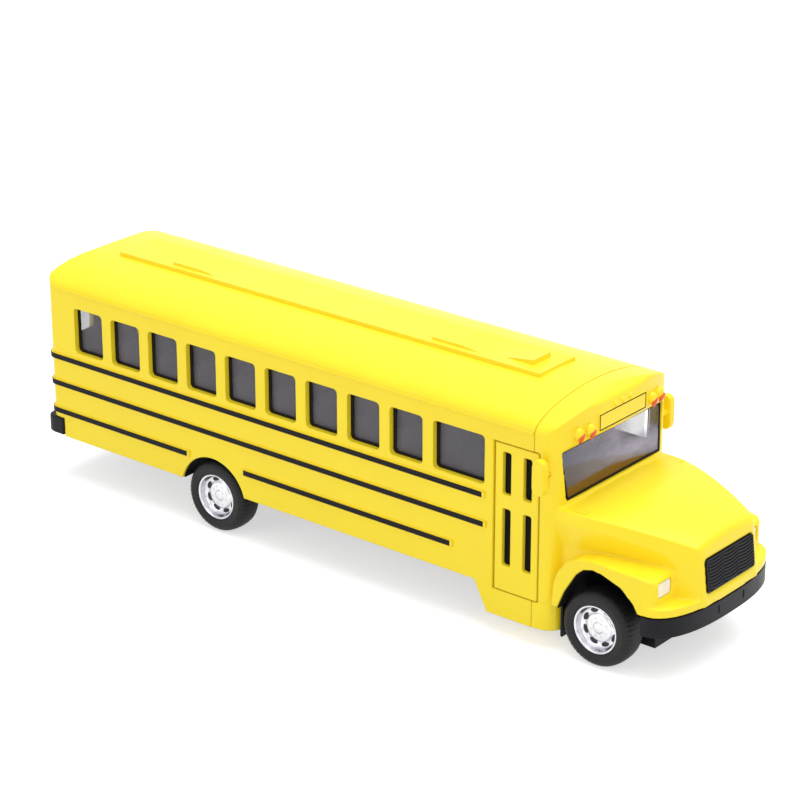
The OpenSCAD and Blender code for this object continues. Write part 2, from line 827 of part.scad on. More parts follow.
module hood_solid() {
  straight_x = hood_face_x - hood_edge_r;
  loft(concat(
    [for (i = [0:hood_steps])
      hood_ring(hood_x0 + (straight_x - hood_x0) * i / hood_steps, 0, nose_floor_z)],
    [for (k = [1:edge_steps])
      let (a = 90 * k / edge_steps)
        hood_ring(straight_x + hood_edge_r * sin(a), hood_edge_r * (1 - cos(a)), nose_floor_z)]
  ));
}
module hood_cavity() {
  cavity_x1 = hood_face_x - wall - grille_t;
  cavity_x0 = cowl_x + seat_gap;
  loft([for (i = [0:hood_steps])
    hood_ring(cavity_x0 + (cavity_x1 - cavity_x0) * i / hood_steps, wall, nose_floor_z - over)]);
}
module fender() {
  intersection() {
    along_y(tyre_back_y - wheel_gap - wall, half_w) polygon([
      for (s = fender_shares)
        [fender_x0 + s[0] * (fender_x1 - fender_x0), skirt_z + s[1] * (fender_z - skirt_z)]
    ]);
    along_z(skirt_z, fender_z)
      polygon(plan_outline(body_x, fender_x1, half_w, rear_corner_r, fender_corner_r));
  }
}
module front_arch() {
  along_y(tyre_back_y - wheel_gap - 2 * wall, half_w + over) polygon([
    for (s = arch_shares)
      [arch_x0 + s[0] * (arch_x1 - arch_x0), arch_low_z + s[1] * (arch_top_z - arch_low_z)]
  ]);
}
// Plan of the front bumper and of the ledge above it
function bumper_plan(inset, back_x) = concat(
  [[back_x, half_w - inset], [back_x, inset - half_w]],
  [for (p = dome(half_w - inset, bumper_sweep - inset, bumper_power, bumper_end_x)) [p[1], -p[0]]]
);
module ledge() {
  difference() {
    along_z(nose_floor_z, ledge_z) polygon(bumper_plan(0, bumper_end_x - over));
    along_z(nose_floor_z - over, ledge_z + over) polygon(bumper_plan(ledge_d, bumper_end_x - 2 * over));
  }
}
module grille_place() {
  translate([grille_x, 0, grille_mid_z]) rotate([0, -grille_lean, 0]) children();
}
module grille_plate(gap) {
  grille_place() along_x(-grille_t - gap, grille_proud + gap)
    polygon(rounded(grille_w + 2 * gap, grille_h + 2 * gap, grille_r));
}
module lamp_block(gap, front) {
  translate([0, lamp_y, lamp_z])
    along_x(fender_x1 - lamp_recess - lamp_t - gap, front)
      polygon(rounded(lamp_w + 2 * gap, lamp_h + 2 * gap, lamp_r));
}
module header_details() {
  along_x(header_x - wall / 2, header_x + sign_t)
    translate([0, sign_z]) polygon(rounded(sign_w, sign_h, window_r / 2));
  for (d = beacon_insets)
    on_both_sides()
      translate([cab_front_x(half_w - d) - wall / 2, half_w - d, beacon_z]) rotate([0, 90, 0])
        cylinder(h = beacon_t + wall / 2, r = beacon_r);
  for (k = [-1:1])
    translate([header_x - wall / 2, k * marker_gap, marker_z]) rotate([0, 90, 0])
      cylinder(h = marker_t + wall / 2, r = marker_r);
}
module front_cap() {
  color(paint_yellow) difference() {
    union() {
      intersection() {
        coach_walls();
        body_half_space(true);
      }
      difference() {
        union() {
          difference() {
            union() {
              hood_solid();
              ledge();
            }
            hood_cavity();
          }
          on_both_sides() fender();
        }
        coach_solid(wall / 2, skirt_z - over);
        block([arch_x1 - over, -half_w - over, 0], [front_x + over, half_w + over, nose_floor_z]);
      }
      header_details();
      intersection() {
        translate([front_screw_x, 0, tongue_top_z]) cylinder(h = hood_rear_z - tongue_top_z, r = post_r);
        under_hood_space();
      }
    }
    on_both_sides() front_arch();
    block([cowl_x - wall - over, -front_frame_hw - move_gap, 0],
          [cowl_x + over, front_frame_hw + move_gap, plate_top_z + move_gap]);
    intersection() {
      driver_window();
      body_half_space(true);
    }
    along_x(cowl_x - windscreen_lean - 2 * wall, header_x + over) windscreen_outline(0);
    grille_plate(seat_gap);
    on_both_sides() lamp_block(seat_gap, fender_x1 + over);
    on_both_sides() rod_y(mirror_x, mirror_z, stalk_r + press_fit, inner_hw - over, half_w + over);
    pilot_hole(front_screw_x, tongue_top_z);
  }
}
// Space under the hood down to the bumper's tongue, to trim the screw post
module under_hood_space() {
  cavity_x1 = hood_face_x - wall;
  loft([for (i = [0:hood_steps])
    hood_ring(cowl_x + (cavity_x1 - cowl_x) * i / hood_steps, wall / 2, plate_z)]);
}

module side_glazing() {
  x0 = body_x + wall + seat_gap;
  x1 = seam_x - seat_gap;
  right_x1 = door_rear_x - seat_gap;
  z0 = window_z - glazing_margin;
  z1 = window_top_z + glazing_margin;
  rear_hw = glazing_hw - rear_corner_r;
  color(pane_clear, pane_alpha) {
    block([x0 + rear_corner_r, glazing_hw - pane_t, z0], [x1, glazing_hw, z1]);
    block([x0 + rear_corner_r, -glazing_hw, z0], [right_x1, pane_t - glazing_hw, z1]);
    block([x0, -rear_hw, z0], [x0 + pane_t, rear_hw, z1]);
    difference() {
      block([x0, -rear_hw, z1 - pane_t], [right_x1, rear_hw, z1]);
      for (x = [rear_screw_x, mid_screw_x])
        translate([x, 0, z0]) cylinder(h = z1 - z0 + over, r = post_r + seat_gap);
    }
    block([x0 + rear_corner_r, -glazing_hw, z1 - pane_t], [right_x1, -rear_hw, z1]);
    block([x0 + rear_corner_r, rear_hw, z1 - pane_t], [right_x1, glazing_hw, z1]);
  }
}
module windscreen() {
  lean_x = cowl_x - wall - seat_gap;
  color(pane_clear, pane_alpha) intersection() {
    along_x(cowl_x - windscreen_lean - 2 * wall, header_x + over) windscreen_outline(seat_gap);
    along_y(-half_w, half_w) polygon([
      [lean_x, window_z], [lean_x + pane_t, window_z],
      [lean_x + pane_t - windscreen_lean, window_top_z], [lean_x - windscreen_lean, window_top_z]
    ]);
  }
}

// Cabin
module bench(x, y0, y1) {
  along_y(y0, y1) polygon([
    [x, floor_top_z], [x - bench_back_t / 2, bench_top_z], [x + bench_back_t / 2, bench_top_z],
    [x + bench_back_t, cushion_top_z], [x + bench_d, cushion_top_z], [x + bench_d, floor_top_z]
  ]);
}
module seat_tub() {
  wall_top_z = window_z - glazing_margin - tub_wall_drop;
  color(cabin_grey) difference() {
    union() {
      block([tub_x0, -tub_hw, floor_z], [tub_x1, tub_hw, floor_top_z]);
      block([tub_x0, tub_hw - tub_wall_t, floor_z], [tub_x1, tub_hw, wall_top_z]);
      block([tub_x0, -tub_hw, floor_z], [step_rear_x, tub_wall_t - tub_hw, wall_top_z]);
      block([tub_x0, -tub_hw, floor_z], [tub_x0 + tub_wall_t, tub_hw, wall_top_z]);
      for (i = [0:window_count - 1])
        for (side = [RIGHT, LEFT])
          scale_side(side)
            bench(first_window_x + i * window_pitch + bench_margin, bench_aisle / 2, tub_hw - bench_margin);
      bench(cowl_x - driver_back, driver_y - driver_w / 2, driver_y + driver_w / 2);
    }
    for (x = [rear_screw_x, mid_screw_x])
      translate([x, 0, floor_z - over]) cylinder(h = floor_t + 2 * over, r = screw_r + seat_gap);
  }
}
module column_place() {
  translate([tub_x1, driver_y, steering_z]) rotate([0, -steering_tilt, 0]) children();
}
module dashboard() {
  x1 = tub_x1 + dash_d;
  color(trim_black) difference() {
    along_y(-dash_hw, dash_hw) polygon([
      [tub_x1, floor_z], [tub_x1, dash_z - floor_t], [tub_x1 + floor_t, dash_z], [x1, dash_z], [x1, floor_z]
    ]);
    column_place() translate([0, 0, -column_len - column_seat - over])
      cylinder(h = column_len + column_seat + over, r = column_r + press_fit);
  }
}
module steering_wheel() {
  color(trim_black) column_place() {
    rotate_extrude() translate([steering_r - steering_t / 2, 0]) circle(r = steering_t / 2);
    for (a = spoke_angles)
      rotate([0, 0, a]) translate([0, -steering_t / 2, -steering_t / 4])
        cube([steering_r - steering_t / 2, steering_t, steering_t / 2]);
    translate([0, 0, -column_len - column_seat + seat_gap])
      cylinder(h = column_len + column_seat + steering_t / 2 - seat_gap, r = column_r);
  }
}

// Entry door
module slot(x, z, h) {
  translate([x + slot_w / 2, 0, z + h / 2])
    along_y(-half_w - over, over - inner_hw) polygon(rounded(slot_w, h, slot_r));
}
module entry_door() {
  z0 = door_z + move_gap;
  z1 = door_top_z - move_gap;
  color(paint_yellow) difference() {
    union() {
      block([hinge_x, -half_w, z0], [door_front_x - move_gap, door_t - half_w, z1]);
      translate([hinge_x, hinge_y, z0]) cylinder(h = z1 - z0, r = barrel_r);
    }
    translate([hinge_x, hinge_y, z0 - over]) cylinder(h = z1 - z0 + 2 * over, r = hinge_pin_r + run_fit);
    for (x = [door_rear_x + slot_rear_gap, door_rear_x + slot_rear_gap + slot_pitch]) {
      slot(x, upper_slot_z, upper_slot_h);
      slot(x, lower_slot_z, lower_slot_h);
    }
  }
}
module door_hinge_pin() {
  color(steel_grey) translate([hinge_x, hinge_y, door_z - hinge_seat + seat_gap])
    cylinder(h = door_h + 2 * (hinge_seat - seat_gap), r = hinge_pin_r);
}

// Chassis
module carriers(axle_x, hw) {
  on_both_sides()
    block([axle_x - carrier_len / 2, hw - carrier_w, hub_z - carrier_drop],
          [axle_x + carrier_len / 2, hw, plate_z + plate_t / 2]);
}
// Mudguards between the front tyres and the cab, and walls behind the wheels
module mudguard() {
  y0 = front_frame_hw - carrier_w;
  x0 = step_front_x + move_gap;
  block([x0, y0, guard_z], [x0 + mudguard_t, mudguard_hw, skirt_z - move_gap]);
  block([x0, y0, guard_z], [x0 + mudguard_t, front_frame_hw, plate_z + plate_t / 2]);
}
module arch_wall(x0, x1, hw, z1) {
  on_both_sides() block([x0, hw - arch_wall_t, plate_z], [x1, hw, z1]);
}
module case_box(gap, z0, z1) {
  block([cavity_x0 - case_wall - gap, case_y0 - gap, z0], [cavity_x1 + case_wall + gap, case_y1 + gap, z1]);
}
module chassis() {
  wheel_len = tyre_r + wheel_gap;
  front_x0 = header_x - cab_bow;
  color(trim_black) difference() {
    union() {
      block([plate_x0, -plate_hw, plate_z], [front_x0, plate_hw, plate_top_z]);
      block([front_x0 - over, -front_frame_hw, plate_z],
            [front_axle_x + guard_front, front_frame_hw, plate_top_z]);
      block([front_axle_x, -tongue_hw, plate_z], [chassis_front_x, tongue_hw, plate_top_z]);
      carriers(rear_axle_x, carrier_hw);
      carriers(front_axle_x, front_frame_hw);
      block([front_axle_x + guard_front - guard_len, -front_frame_hw, guard_z],
            [front_axle_x + guard_front, front_frame_hw, plate_z + plate_t / 2]);
      for (x = [rear_screw_x, mid_screw_x])
        translate([x, 0, plate_z]) cylinder(h = floor_z - seat_gap - plate_z, r = boss_r);
      on_both_sides() mudguard();
      arch_wall(rear_axle_x - rear_arch_r, rear_axle_x + rear_arch_r, carrier_hw, floor_z - move_gap);
      arch_wall(arch_x0 + wall, front_axle_x + guard_front, front_frame_hw, arch_top_z - move_gap);
    }
    on_both_sides()
      block([rear_axle_x - wheel_len, carrier_hw, 0], [rear_axle_x + wheel_len, half_w, floor_z]);
    block([step_rear_x - move_gap, -half_w, 0],
          [step_front_x + seat_gap, step_d + move_gap - half_w, floor_z]);
    for (x = [rear_axle_x, front_axle_x])
      rod_y(x, hub_z, axle_r + run_fit, -half_w, half_w);
    case_box(move_gap, 0, floor_z);
    for (s = screw_sets)
      translate([s[0], 0, 0]) {
        cylinder(h = floor_z + over, r = screw_r + seat_gap);
        cylinder(h = plate_z + screw_head_t, r = screw_head_r + seat_gap);
      }
  }
}
module fixing_screws() {
  color(steel_grey)
    for (s = screw_sets)
      translate([s[0], 0, plate_z + seat_gap]) {
        cylinder(h = screw_head_t - seat_gap, r = screw_head_r);
        cylinder(h = s[1] + screw_bite - seat_gap - plate_z - seat_gap, r = screw_r);
      }
}
module front_bumper() {
  color(trim_black) difference() {
    union() {
      difference() {
        along_z(bumper_z, bumper_z + bumper_h) polygon(bumper_plan(0, bumper_end_x));
        along_z(bumper_z - over, bumper_z + bumper_h + over)
          polygon(bumper_plan(bumper_t, bumper_end_x - over));
      }
      block([front_screw_x - tongue_back, -tongue_hw, plate_top_z],
            [front_x - bumper_t / 2, tongue_hw, tongue_top_z]);
    }
    translate([front_screw_x, 0, 0]) cylinder(h = floor_z, r = screw_r + seat_gap);
  }
}
module rear_bumper() {
  band_x1 = body_x + rear_notch_len - seat_gap;
  inner_x = body_x + wall;
  color(trim_black) {
    difference() {
      along_z(rear_bumper_z, rear_bumper_z + rear_bumper_h) polygon(
        plan_outline(rear_x, band_x1 + rear_corner_r, rear_bumper_hw, rear_corner_r, rear_corner_r)
      );
      block([band_x1, -body_w, 0], [band_x1 + body_w, body_w, floor_z]);
      block([rear_x + bumper_t, bumper_t - rear_bumper_hw, 0],
            [band_x1 + over, rear_bumper_hw - bumper_t, floor_z]);
    }
    block([rear_x + bumper_t / 2, -tongue_hw, plate_top_z],
          [inner_x + tongue_back, tongue_hw, tongue_top_z]);
  }
}
module grille() {
  rib_pitch = (grille_h - 2 * grille_rim) / grille_rib_rows;
  column_w = (grille_w - 2 * grille_rim) / grille_columns;
  rib_h = rib_pitch * grille_rib_share;
  rib_w = column_w - rib_h;
  y0 = (column_w - rib_w - grille_w) / 2 + grille_rim;
  z0 = (rib_pitch - rib_h - grille_h) / 2 + grille_rim;
  color(trim_black) {
    grille_plate(0);
    grille_place()
      for (c = [0:grille_columns - 1])
        for (r = [0:grille_rib_rows - 1])
          translate([0, y0 + c * column_w, z0 + r * rib_pitch])
            cube([grille_proud + grille_rib_t, rib_w, rib_h]);
  }
}
module headlight(side) {
  color(lens_white) scale_side(side) lamp_block(0, fender_x1 - lamp_recess);
}
module headlight_right() { headlight(RIGHT); }
module headlight_left() { headlight(LEFT); }
module mirror_piece(side) {
  color(paint_yellow) scale_side(side) {
    translate([mirror_x, 0, mirror_z])
      along_y(half_w + stalk_len, half_w + stalk_len + mirror_t)
        polygon(rounded(mirror_w, mirror_h, mirror_r));
    rod_y(mirror_x, mirror_z, stalk_r, inner_hw, half_w + stalk_len + mirror_t / 2);
  }
}
module mirror_right() { mirror_piece(RIGHT); }
module mirror_left() { mirror_piece(LEFT); }

// Wheels: each is turned about its own axis, with the outer face up, then set on its axle
module at_wheel(axle_x, side) {
  translate([axle_x, side * tyre_back_y, hub_z]) rotate([-90 * side, 0, 0]) children();
}
module rim(axle_x, side) {
  disc_z = rim_w - rim_disc_drop;
  floor_h = rim_w - rim_dish_d;
  bore_h = disc_z - axle_cover + seat_gap;
  color(rim_silver) at_wheel(axle_x, side) difference() {
    rotate_extrude() polygon([
      [axle_r + press_fit, 0], [rim_r, 0], [rim_r, rim_w], [rim_r - rim_lip, rim_w], [rim_dish_r, floor_h],
      [rim_disc_r, floor_h], [rim_disc_r, disc_z], [rim_cap_r, disc_z], [rim_cap_r, disc_z + rim_cap_t],
      [0, disc_z + rim_cap_t], [0, bore_h], [axle_r + press_fit, bore_h]
    ]);
    for (k = [0:rim_slots - 1])
      rotate([0, 0, 360 * k / rim_slots])
        block([rim_disc_r - rim_slot_l, -rim_slot_w / 2, floor_h],
              [rim_disc_r + over, rim_slot_w / 2, rim_w]);
  }
}
module tyre(axle_x, side) {
  inner = rim_r + press_fit;
  color(trim_black) at_wheel(axle_x, side) rotate_extrude() polygon(concat(
    [[inner, 0]], arc(tyre_r - shoulder_r, shoulder_r, shoulder_r, 270, 360),
    arc(tyre_r - shoulder_r, tyre_w - shoulder_r, shoulder_r, 0, 90), [[inner, tyre_w]]
  ));
}
module axle(axle_x) {
  color(steel_grey) rod_y(axle_x, hub_z, axle_r, -axle_end_y, axle_end_y);
}
module front_axle() { axle(front_axle_x); }
module rear_axle() { axle(rear_axle_x); }
module rim_front_right() { rim(front_axle_x, RIGHT); }
module rim_front_left() { rim(front_axle_x, LEFT); }
module rim_rear_right() { rim(rear_axle_x, RIGHT); }
module rim_rear_left() { rim(rear_axle_x, LEFT); }
module tyre_front_right() { tyre(front_axle_x, RIGHT); }
module tyre_front_left() { tyre(front_axle_x, LEFT); }
module tyre_rear_right() { tyre(rear_axle_x, RIGHT); }
module tyre_rear_left() { tyre(rear_axle_x, LEFT); }

// Gears: involute flanks from the base circle to the tip, radial below it
function involute(a) = tan(a) - a * PI / 180;
function half_tooth(teeth, r) =
  let (pitch_r = gear_module * teeth / 2, base_r = pitch_r * cos(pressure_angle),
       a = acos(min(1, base_r / r)))
    (PI * gear_module / 2 - backlash) / pitch_r / 2 + involute(pressure_angle) - involute(a);
function gear_outline(teeth) =
  let (pitch_r = gear_module * teeth / 2, base_r = pitch_r * cos(pressure_angle),
       tip_r = pitch_r + gear_module * addendum_share, root_r = pitch_r - gear_module * dedendum_share,
       low_r = max(base_r, root_r),
       radii = [for (k = [0:flank_steps]) low_r + (tip_r - low_r) * k / flank_steps])
    [for (i = [0:teeth - 1]) for (p = concat(
        [[root_r, -half_tooth(teeth, low_r)]], [for (r = radii) [r, -half_tooth(teeth, r)]],
        [for (k = [flank_steps:-1:0]) [radii[k], half_tooth(teeth, radii[k])]],
        [[root_r, half_tooth(teeth, low_r)]]))
      let (a = p[1] * 180 / PI + 360 * i / teeth) p[0] * [cos(a), sin(a)]];
module gear(teeth, x, z, y, turn) {
  translate([x, 0, z]) along_y(y, y + gear_t) rotate(turn) polygon(gear_outline(teeth));
}
module axle_gear() {
  color(drive_white) difference() {
    gear(axle_teeth, rear_axle_x, hub_z, wheel_y, compound_angle);
    rod_y(rear_axle_x, hub_z, axle_r + press_fit, case_y0, case_y1);
  }
}
module compound_gear() {
  color(drive_white) difference() {
    union() {
      gear(wheel_teeth, compound_x, compound_z, wheel_y, compound_angle + 180 + 180 / wheel_teeth);
      gear(pinion_teeth, compound_x, compound_z, pinion_y, 0);
      rod_y(compound_x, compound_z, compound_pin_r + case_wall, wheel_y, pinion_y + gear_t);
    }
    rod_y(compound_x, compound_z, compound_pin_r + run_fit, case_y0, case_y1);
  }
}
module compound_pin() {
  color(steel_grey) rod_y(compound_x, compound_z, compound_pin_r, case_y0, case_y1);
}
module spring_gear() {
  color(drive_white) {
    gear(spring_teeth, spring_x, spring_z, pinion_y, 180 + 180 / spring_teeth);
    rod_y(spring_x, spring_z, arbor_r, case_y0, case_y1);
  }
}
// Mainspring: a flat strip wound in a spiral round the arbor
module mainspring() {
  r0 = arbor_r + spring_core_gap;
  r1 = spring_gear_r - spring_t;
  steps = spring_turns * spring_steps;
  function radius(k) = r0 + (r1 - r0) * k / steps;
  function at(k, r) = r * [cos(360 * spring_turns * k / steps), sin(360 * spring_turns * k / steps)];
  color(steel_grey) translate([spring_x, 0, spring_z]) along_y(spring_y, spring_y + spring_layer_w)
    polygon(concat(
      [for (k = [0:steps]) at(k, radius(k))],
      [for (k = [steps:-1:0]) at(k, radius(k) + spring_t)]
    ));
}
module drive_case() {
  difference() {
    union() {
      case_box(0, cavity_z0 - case_wall, cavity_z1 + case_wall);
      block([cavity_x0 - case_wall - case_flange, case_y0, plate_top_z],
            [cavity_x1 + case_wall + case_flange, case_y1, plate_top_z + case_flange_t]);
    }
    block([cavity_x0, cavity_y0, cavity_z0], [cavity_x1, cavity_y1, cavity_z1]);
    rod_y(rear_axle_x, hub_z, axle_r + run_fit, case_y0 - over, case_y1 + over);
    rod_y(compound_x, compound_z, compound_pin_r + press_fit, case_y0 - over, case_y1 + over);
    rod_y(spring_x, spring_z, arbor_r + run_fit, case_y0 - over, case_y1 + over);
  }
}
module case_half(y0, y1) {
  color(trim_black) intersection() {
    drive_case();
    block([rear_x, y0, 0], [front_x, y1, eave_z]);
  }
}
module drive_case_right() { case_half(-half_w, split_y); }
module drive_case_left() { case_half(split_y, half_w); }

body_shell();
front_cap();
side_glazing();
windscreen();
seat_tub();
dashboard();
steering_wheel();
entry_door();
door_hinge_pin();
chassis();
front_bumper();
rear_bumper();
grille();
headlight_right();
headlight_left();
mirror_right();
mirror_left();
front_axle();
rim_front_right();
rim_front_left();
tyre_front_right();
tyre_front_left();
rear_axle();
rim_rear_right();
rim_rear_left();
tyre_rear_right();
tyre_rear_left();
drive_case_right();
drive_case_left();
axle_gear();
compound_gear();
compound_pin();
spring_gear();
mainspring();
fixing_screws();
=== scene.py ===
import json
import math

import bmesh
import bpy
from mathutils import Matrix, Vector


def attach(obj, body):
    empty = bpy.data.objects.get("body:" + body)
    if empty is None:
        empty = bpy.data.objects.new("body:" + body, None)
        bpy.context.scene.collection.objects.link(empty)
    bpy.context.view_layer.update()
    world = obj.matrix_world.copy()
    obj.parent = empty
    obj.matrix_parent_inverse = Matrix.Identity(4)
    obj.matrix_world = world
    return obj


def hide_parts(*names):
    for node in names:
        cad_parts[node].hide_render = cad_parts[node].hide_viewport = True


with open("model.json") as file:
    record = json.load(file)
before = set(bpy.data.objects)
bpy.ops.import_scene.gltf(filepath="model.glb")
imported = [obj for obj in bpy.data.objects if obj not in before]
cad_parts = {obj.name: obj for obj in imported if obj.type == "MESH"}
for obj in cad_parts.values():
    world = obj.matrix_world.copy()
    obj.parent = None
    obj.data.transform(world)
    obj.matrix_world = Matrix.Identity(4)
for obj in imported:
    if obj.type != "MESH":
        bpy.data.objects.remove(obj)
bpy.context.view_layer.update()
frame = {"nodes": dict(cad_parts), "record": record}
MM = 0.001
SMOOTH_ANGLE = 32.0
NORMAL_WEIGHT = 60
SIDES = {"right": -1, "left": 1}

# Places of the solids, in millimetres
HALF_W = 25.0
HEADER_X = 73.1
CAB_BOW = 6.0
CAB_POWER = 2.5
BODY_X = -105.5
SEAM_X = 64.5
EAVE_EDGE_Z = 57.9
CORNER_R = 3.0
RAIL_T = 0.5
WINDOW_Z, WINDOW_TOP = 40.3, 53.5
WINDOW_R = 1.2
REAR_AXLE_X = -43.4
FRONT_AXLE_X = 83.4
HUB_Z = 10.25
REAR_ARCH_R = 11.75
TYRE_BACK_Y = 16.5


def link(obj):
    bpy.context.scene.collection.objects.link(obj)
    return obj


def new_mesh(name, verts, faces):
    mesh = bpy.data.meshes.new(name)
    mesh.from_pydata([[c * MM for c in v] for v in verts], [], faces)
    bm = bmesh.new()
    bm.from_mesh(mesh)
    bmesh.ops.recalc_face_normals(bm, faces=bm.faces)
    bm.to_mesh(mesh)
    bm.free()
    return mesh


def soften(obj, angle=SMOOTH_ANGLE):
    mesh = obj.data
    for poly in mesh.polygons:
        poly.use_smooth = True
    mesh.set_sharp_from_angle(angle=math.radians(angle))
    weighted = obj.modifiers.new("even_normals", "WEIGHTED_NORMAL")
    weighted.keep_sharp = True
    weighted.weight = NORMAL_WEIGHT


def finish_piece(obj, mat, body, nodes=()):
    obj.data.materials.clear()
    obj.data.materials.append(mat)
    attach(obj, body)
    if nodes:
        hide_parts(*nodes)
    return obj


def piece(name, verts, faces, mat, body, slot, nodes=(), angle=SMOOTH_ANGLE):
    obj = link(bpy.data.objects.new(name, new_mesh(name, verts, faces)))
    soften(obj, angle)
    return finish_piece(obj, mat, body, nodes)


# Materials
RAMP_LOW, RAMP_HIGH = 0.3, 0.7
BUMP_DEPTH = 0.0001
BEVEL_SAMPLES = 4
LEAST_ROUGH, COAT_ROUGH = 0.02, 0.12


def node_of(tree, kind, **values):
    node = tree.nodes.new(kind)
    for key, value in values.items():
        node.inputs[key.replace("_", " ")].default_value = value
    return node


def shade(name, color, rough, tint=0.05, grain=70.0, rough_span=0.1, bump=0.0, bump_scale=1500.0,
          edge=0.0, metallic=0.0, coat=0.0, alpha=1.0, stretch=(1, 1, 1), specular=0.5):
    mat = bpy.data.materials.new(name)
    mat.use_nodes = True
    tree = mat.node_tree
    bsdf = tree.nodes["Principled BSDF"]
    coord = tree.nodes.new("ShaderNodeTexCoord")
    mapping = node_of(tree, "ShaderNodeMapping", Scale=stretch)
    tree.links.new(coord.outputs["Object"], mapping.inputs["Vector"])
    broad = node_of(tree, "ShaderNodeTexNoise", Scale=grain, Detail=3.0)
    tree.links.new(mapping.outputs["Vector"], broad.inputs["Vector"])
    ramp = tree.nodes.new("ShaderNodeValToRGB")
    dark = [max(0.0, c * (1 - tint)) for c in color]
    light = [min(1.0, c * (1 + tint)) for c in color]
    ramp.color_ramp.elements[0].color = (*dark, 1)
    ramp.color_ramp.elements[1].color = (*light, 1)
    ramp.color_ramp.elements[0].position = RAMP_LOW
    ramp.color_ramp.elements[1].position = RAMP_HIGH
    tree.links.new(broad.outputs["Fac"], ramp.inputs["Fac"])
    tree.links.new(ramp.outputs["Color"], bsdf.inputs["Base Color"])
    fine = node_of(tree, "ShaderNodeTexNoise", Scale=bump_scale, Detail=2.0)
    tree.links.new(mapping.outputs["Vector"], fine.inputs["Vector"])
    spread = tree.nodes.new("ShaderNodeMapRange")
    spread.inputs["To Min"].default_value = max(LEAST_ROUGH, rough - rough_span)
    spread.inputs["To Max"].default_value = min(1.0, rough + rough_span)
    tree.links.new(broad.outputs["Fac"], spread.inputs["Value"])
    tree.links.new(spread.outputs["Result"], bsdf.inputs["Roughness"])
    normal = None
    if edge:
        round_edge = tree.nodes.new("ShaderNodeBevel")
        round_edge.samples = BEVEL_SAMPLES
        round_edge.inputs["Radius"].default_value = edge * MM
        normal = round_edge.outputs["Normal"]
    if bump:
        relief = node_of(tree, "ShaderNodeBump", Strength=bump, Distance=BUMP_DEPTH)
        tree.links.new(fine.outputs["Fac"], relief.inputs["Height"])
        if normal:
            tree.links.new(normal, relief.inputs["Normal"])
        normal = relief.outputs["Normal"]
    if normal:
        tree.links.new(normal, bsdf.inputs["Normal"])
    bsdf.inputs["Metallic"].default_value = metallic
    bsdf.inputs["Coat Weight"].default_value = coat
    bsdf.inputs["Coat Roughness"].default_value = COAT_ROUGH
    bsdf.inputs["Alpha"].default_value = alpha
    bsdf.inputs["Specular IOR Level"].default_value = specular
    return mat


YELLOW = shade("yellow_paint", (1.0, 0.77, 0.022), 0.36, tint=0.025, grain=45, bump=0.06, bump_scale=900,
               edge=0.4, coat=0.08, specular=0.3)
BLACK = shade("black_plastic", (0.0105, 0.01, 0.0135), 0.4, tint=0.25, grain=160, bump=0.18, edge=0.3,
              specular=0.14)
# Black print of the rails, sign frame and screen seal; also the painted shadow edges round the side panes
BLACK_PAINT_AND_SHADE = shade("black_paint_and_shade", (0.0065, 0.005, 0.006), 0.55, tint=0.3, grain=220, bump=0.08, specular=0.15)
RUBBER = shade("tyre_black", (0.0095, 0.0093, 0.011), 0.55, tint=0.3, grain=240, bump=0.25, edge=0.15,
               specular=0.3)
# Near-black that paints the shade in the door's slots, the bumper's notches and the wheel wells
RECESS_SHADE = shade("recess_shade_black", (0.005, 0.005, 0.006), 0.8, tint=0.3, grain=200, bump=0.1, specular=0.1)
CHROME = shade("plated_rim", (0.66, 0.66, 0.7), 0.2, tint=0.06, grain=300, rough_span=0.06, bump=0.05,
               bump_scale=700, edge=0.15, metallic=1.0)
# Dark domes in the rims' slots: painted shade
RIM_SLOT_SHADE = shade("slot_shade_black", (0.012, 0.012, 0.014), 0.6, tint=0.2, grain=300)
STEEL = shade("bright_steel", (0.55, 0.56, 0.58), 0.3, tint=0.08, grain=200, metallic=1.0,
              stretch=(1, 0.1, 1))
CABIN = shade("grey_cabin", (0.07, 0.066, 0.08), 0.55, tint=0.12, grain=120, bump=0.2, edge=0.3)
PANE = shade("clear_pane", (0.22, 0.21, 0.255), 0.06, tint=0.1, grain=60, rough_span=0.03, alpha=0.27,
             specular=0.7)
# Streaked pale lilac tone of the screen: painted reflection
SCREEN = shade("clear_screen", (0.42, 0.41, 0.64), 0.05, tint=0.3, grain=150, rough_span=0.03,
               specular=0.7, stretch=(1, 1, 2.2))
# Brown dashboard: painted shade of the yellow cowl seen through the screen
DASH = shade("brown_dash", (0.15, 0.08, 0.018), 0.5, tint=0.3, grain=180, bump=0.15, edge=0.3)
LENS = shade("head_lens", (0.95, 0.93, 0.97), 0.18, tint=0.05, grain=500, bump=0.2, bump_scale=1200,
             edge=0.3)
AMBER = shade("beacon_lens", (0.8, 0.085, 0.012), 0.25, tint=0.2, grain=900, bump=0.1, edge=0.1)
GEAR = shade("gear_plastic", (0.78, 0.75, 0.66), 0.4, tint=0.05, grain=200, bump=0.1)

# Windscreen: painted shade on the near half, a clear far corner and a painted brown reflection along the sill
SCREEN_SHADY = (0.15, 0.145, 0.25, 1)
SHADY_Y = (-0.018, 0.008)
SILL_REFLECTION_BROWN = (0.16, 0.062, 0.006, 1)
SILL_EDGE_Z = (0.0431, 0.0438)
SILL_FALL_Y, SILL_FALL = (0.0, 0.019), 0.0026
CLEAR_Z, CLEAR_Y = (0.046, 0.0485), (0.003, 0.01)
SILL_ALPHA, CLOUD_ALPHA, CLEAR_ALPHA = 0.85, 0.57, 0.1
MIX_FACTOR = 0
MIX_FLOAT_A, MIX_FLOAT_B, MIX_FLOAT_OUT = 2, 3, 0
MIX_COLOR_A, MIX_COLOR_B, MIX_COLOR_OUT = 6, 7, 2


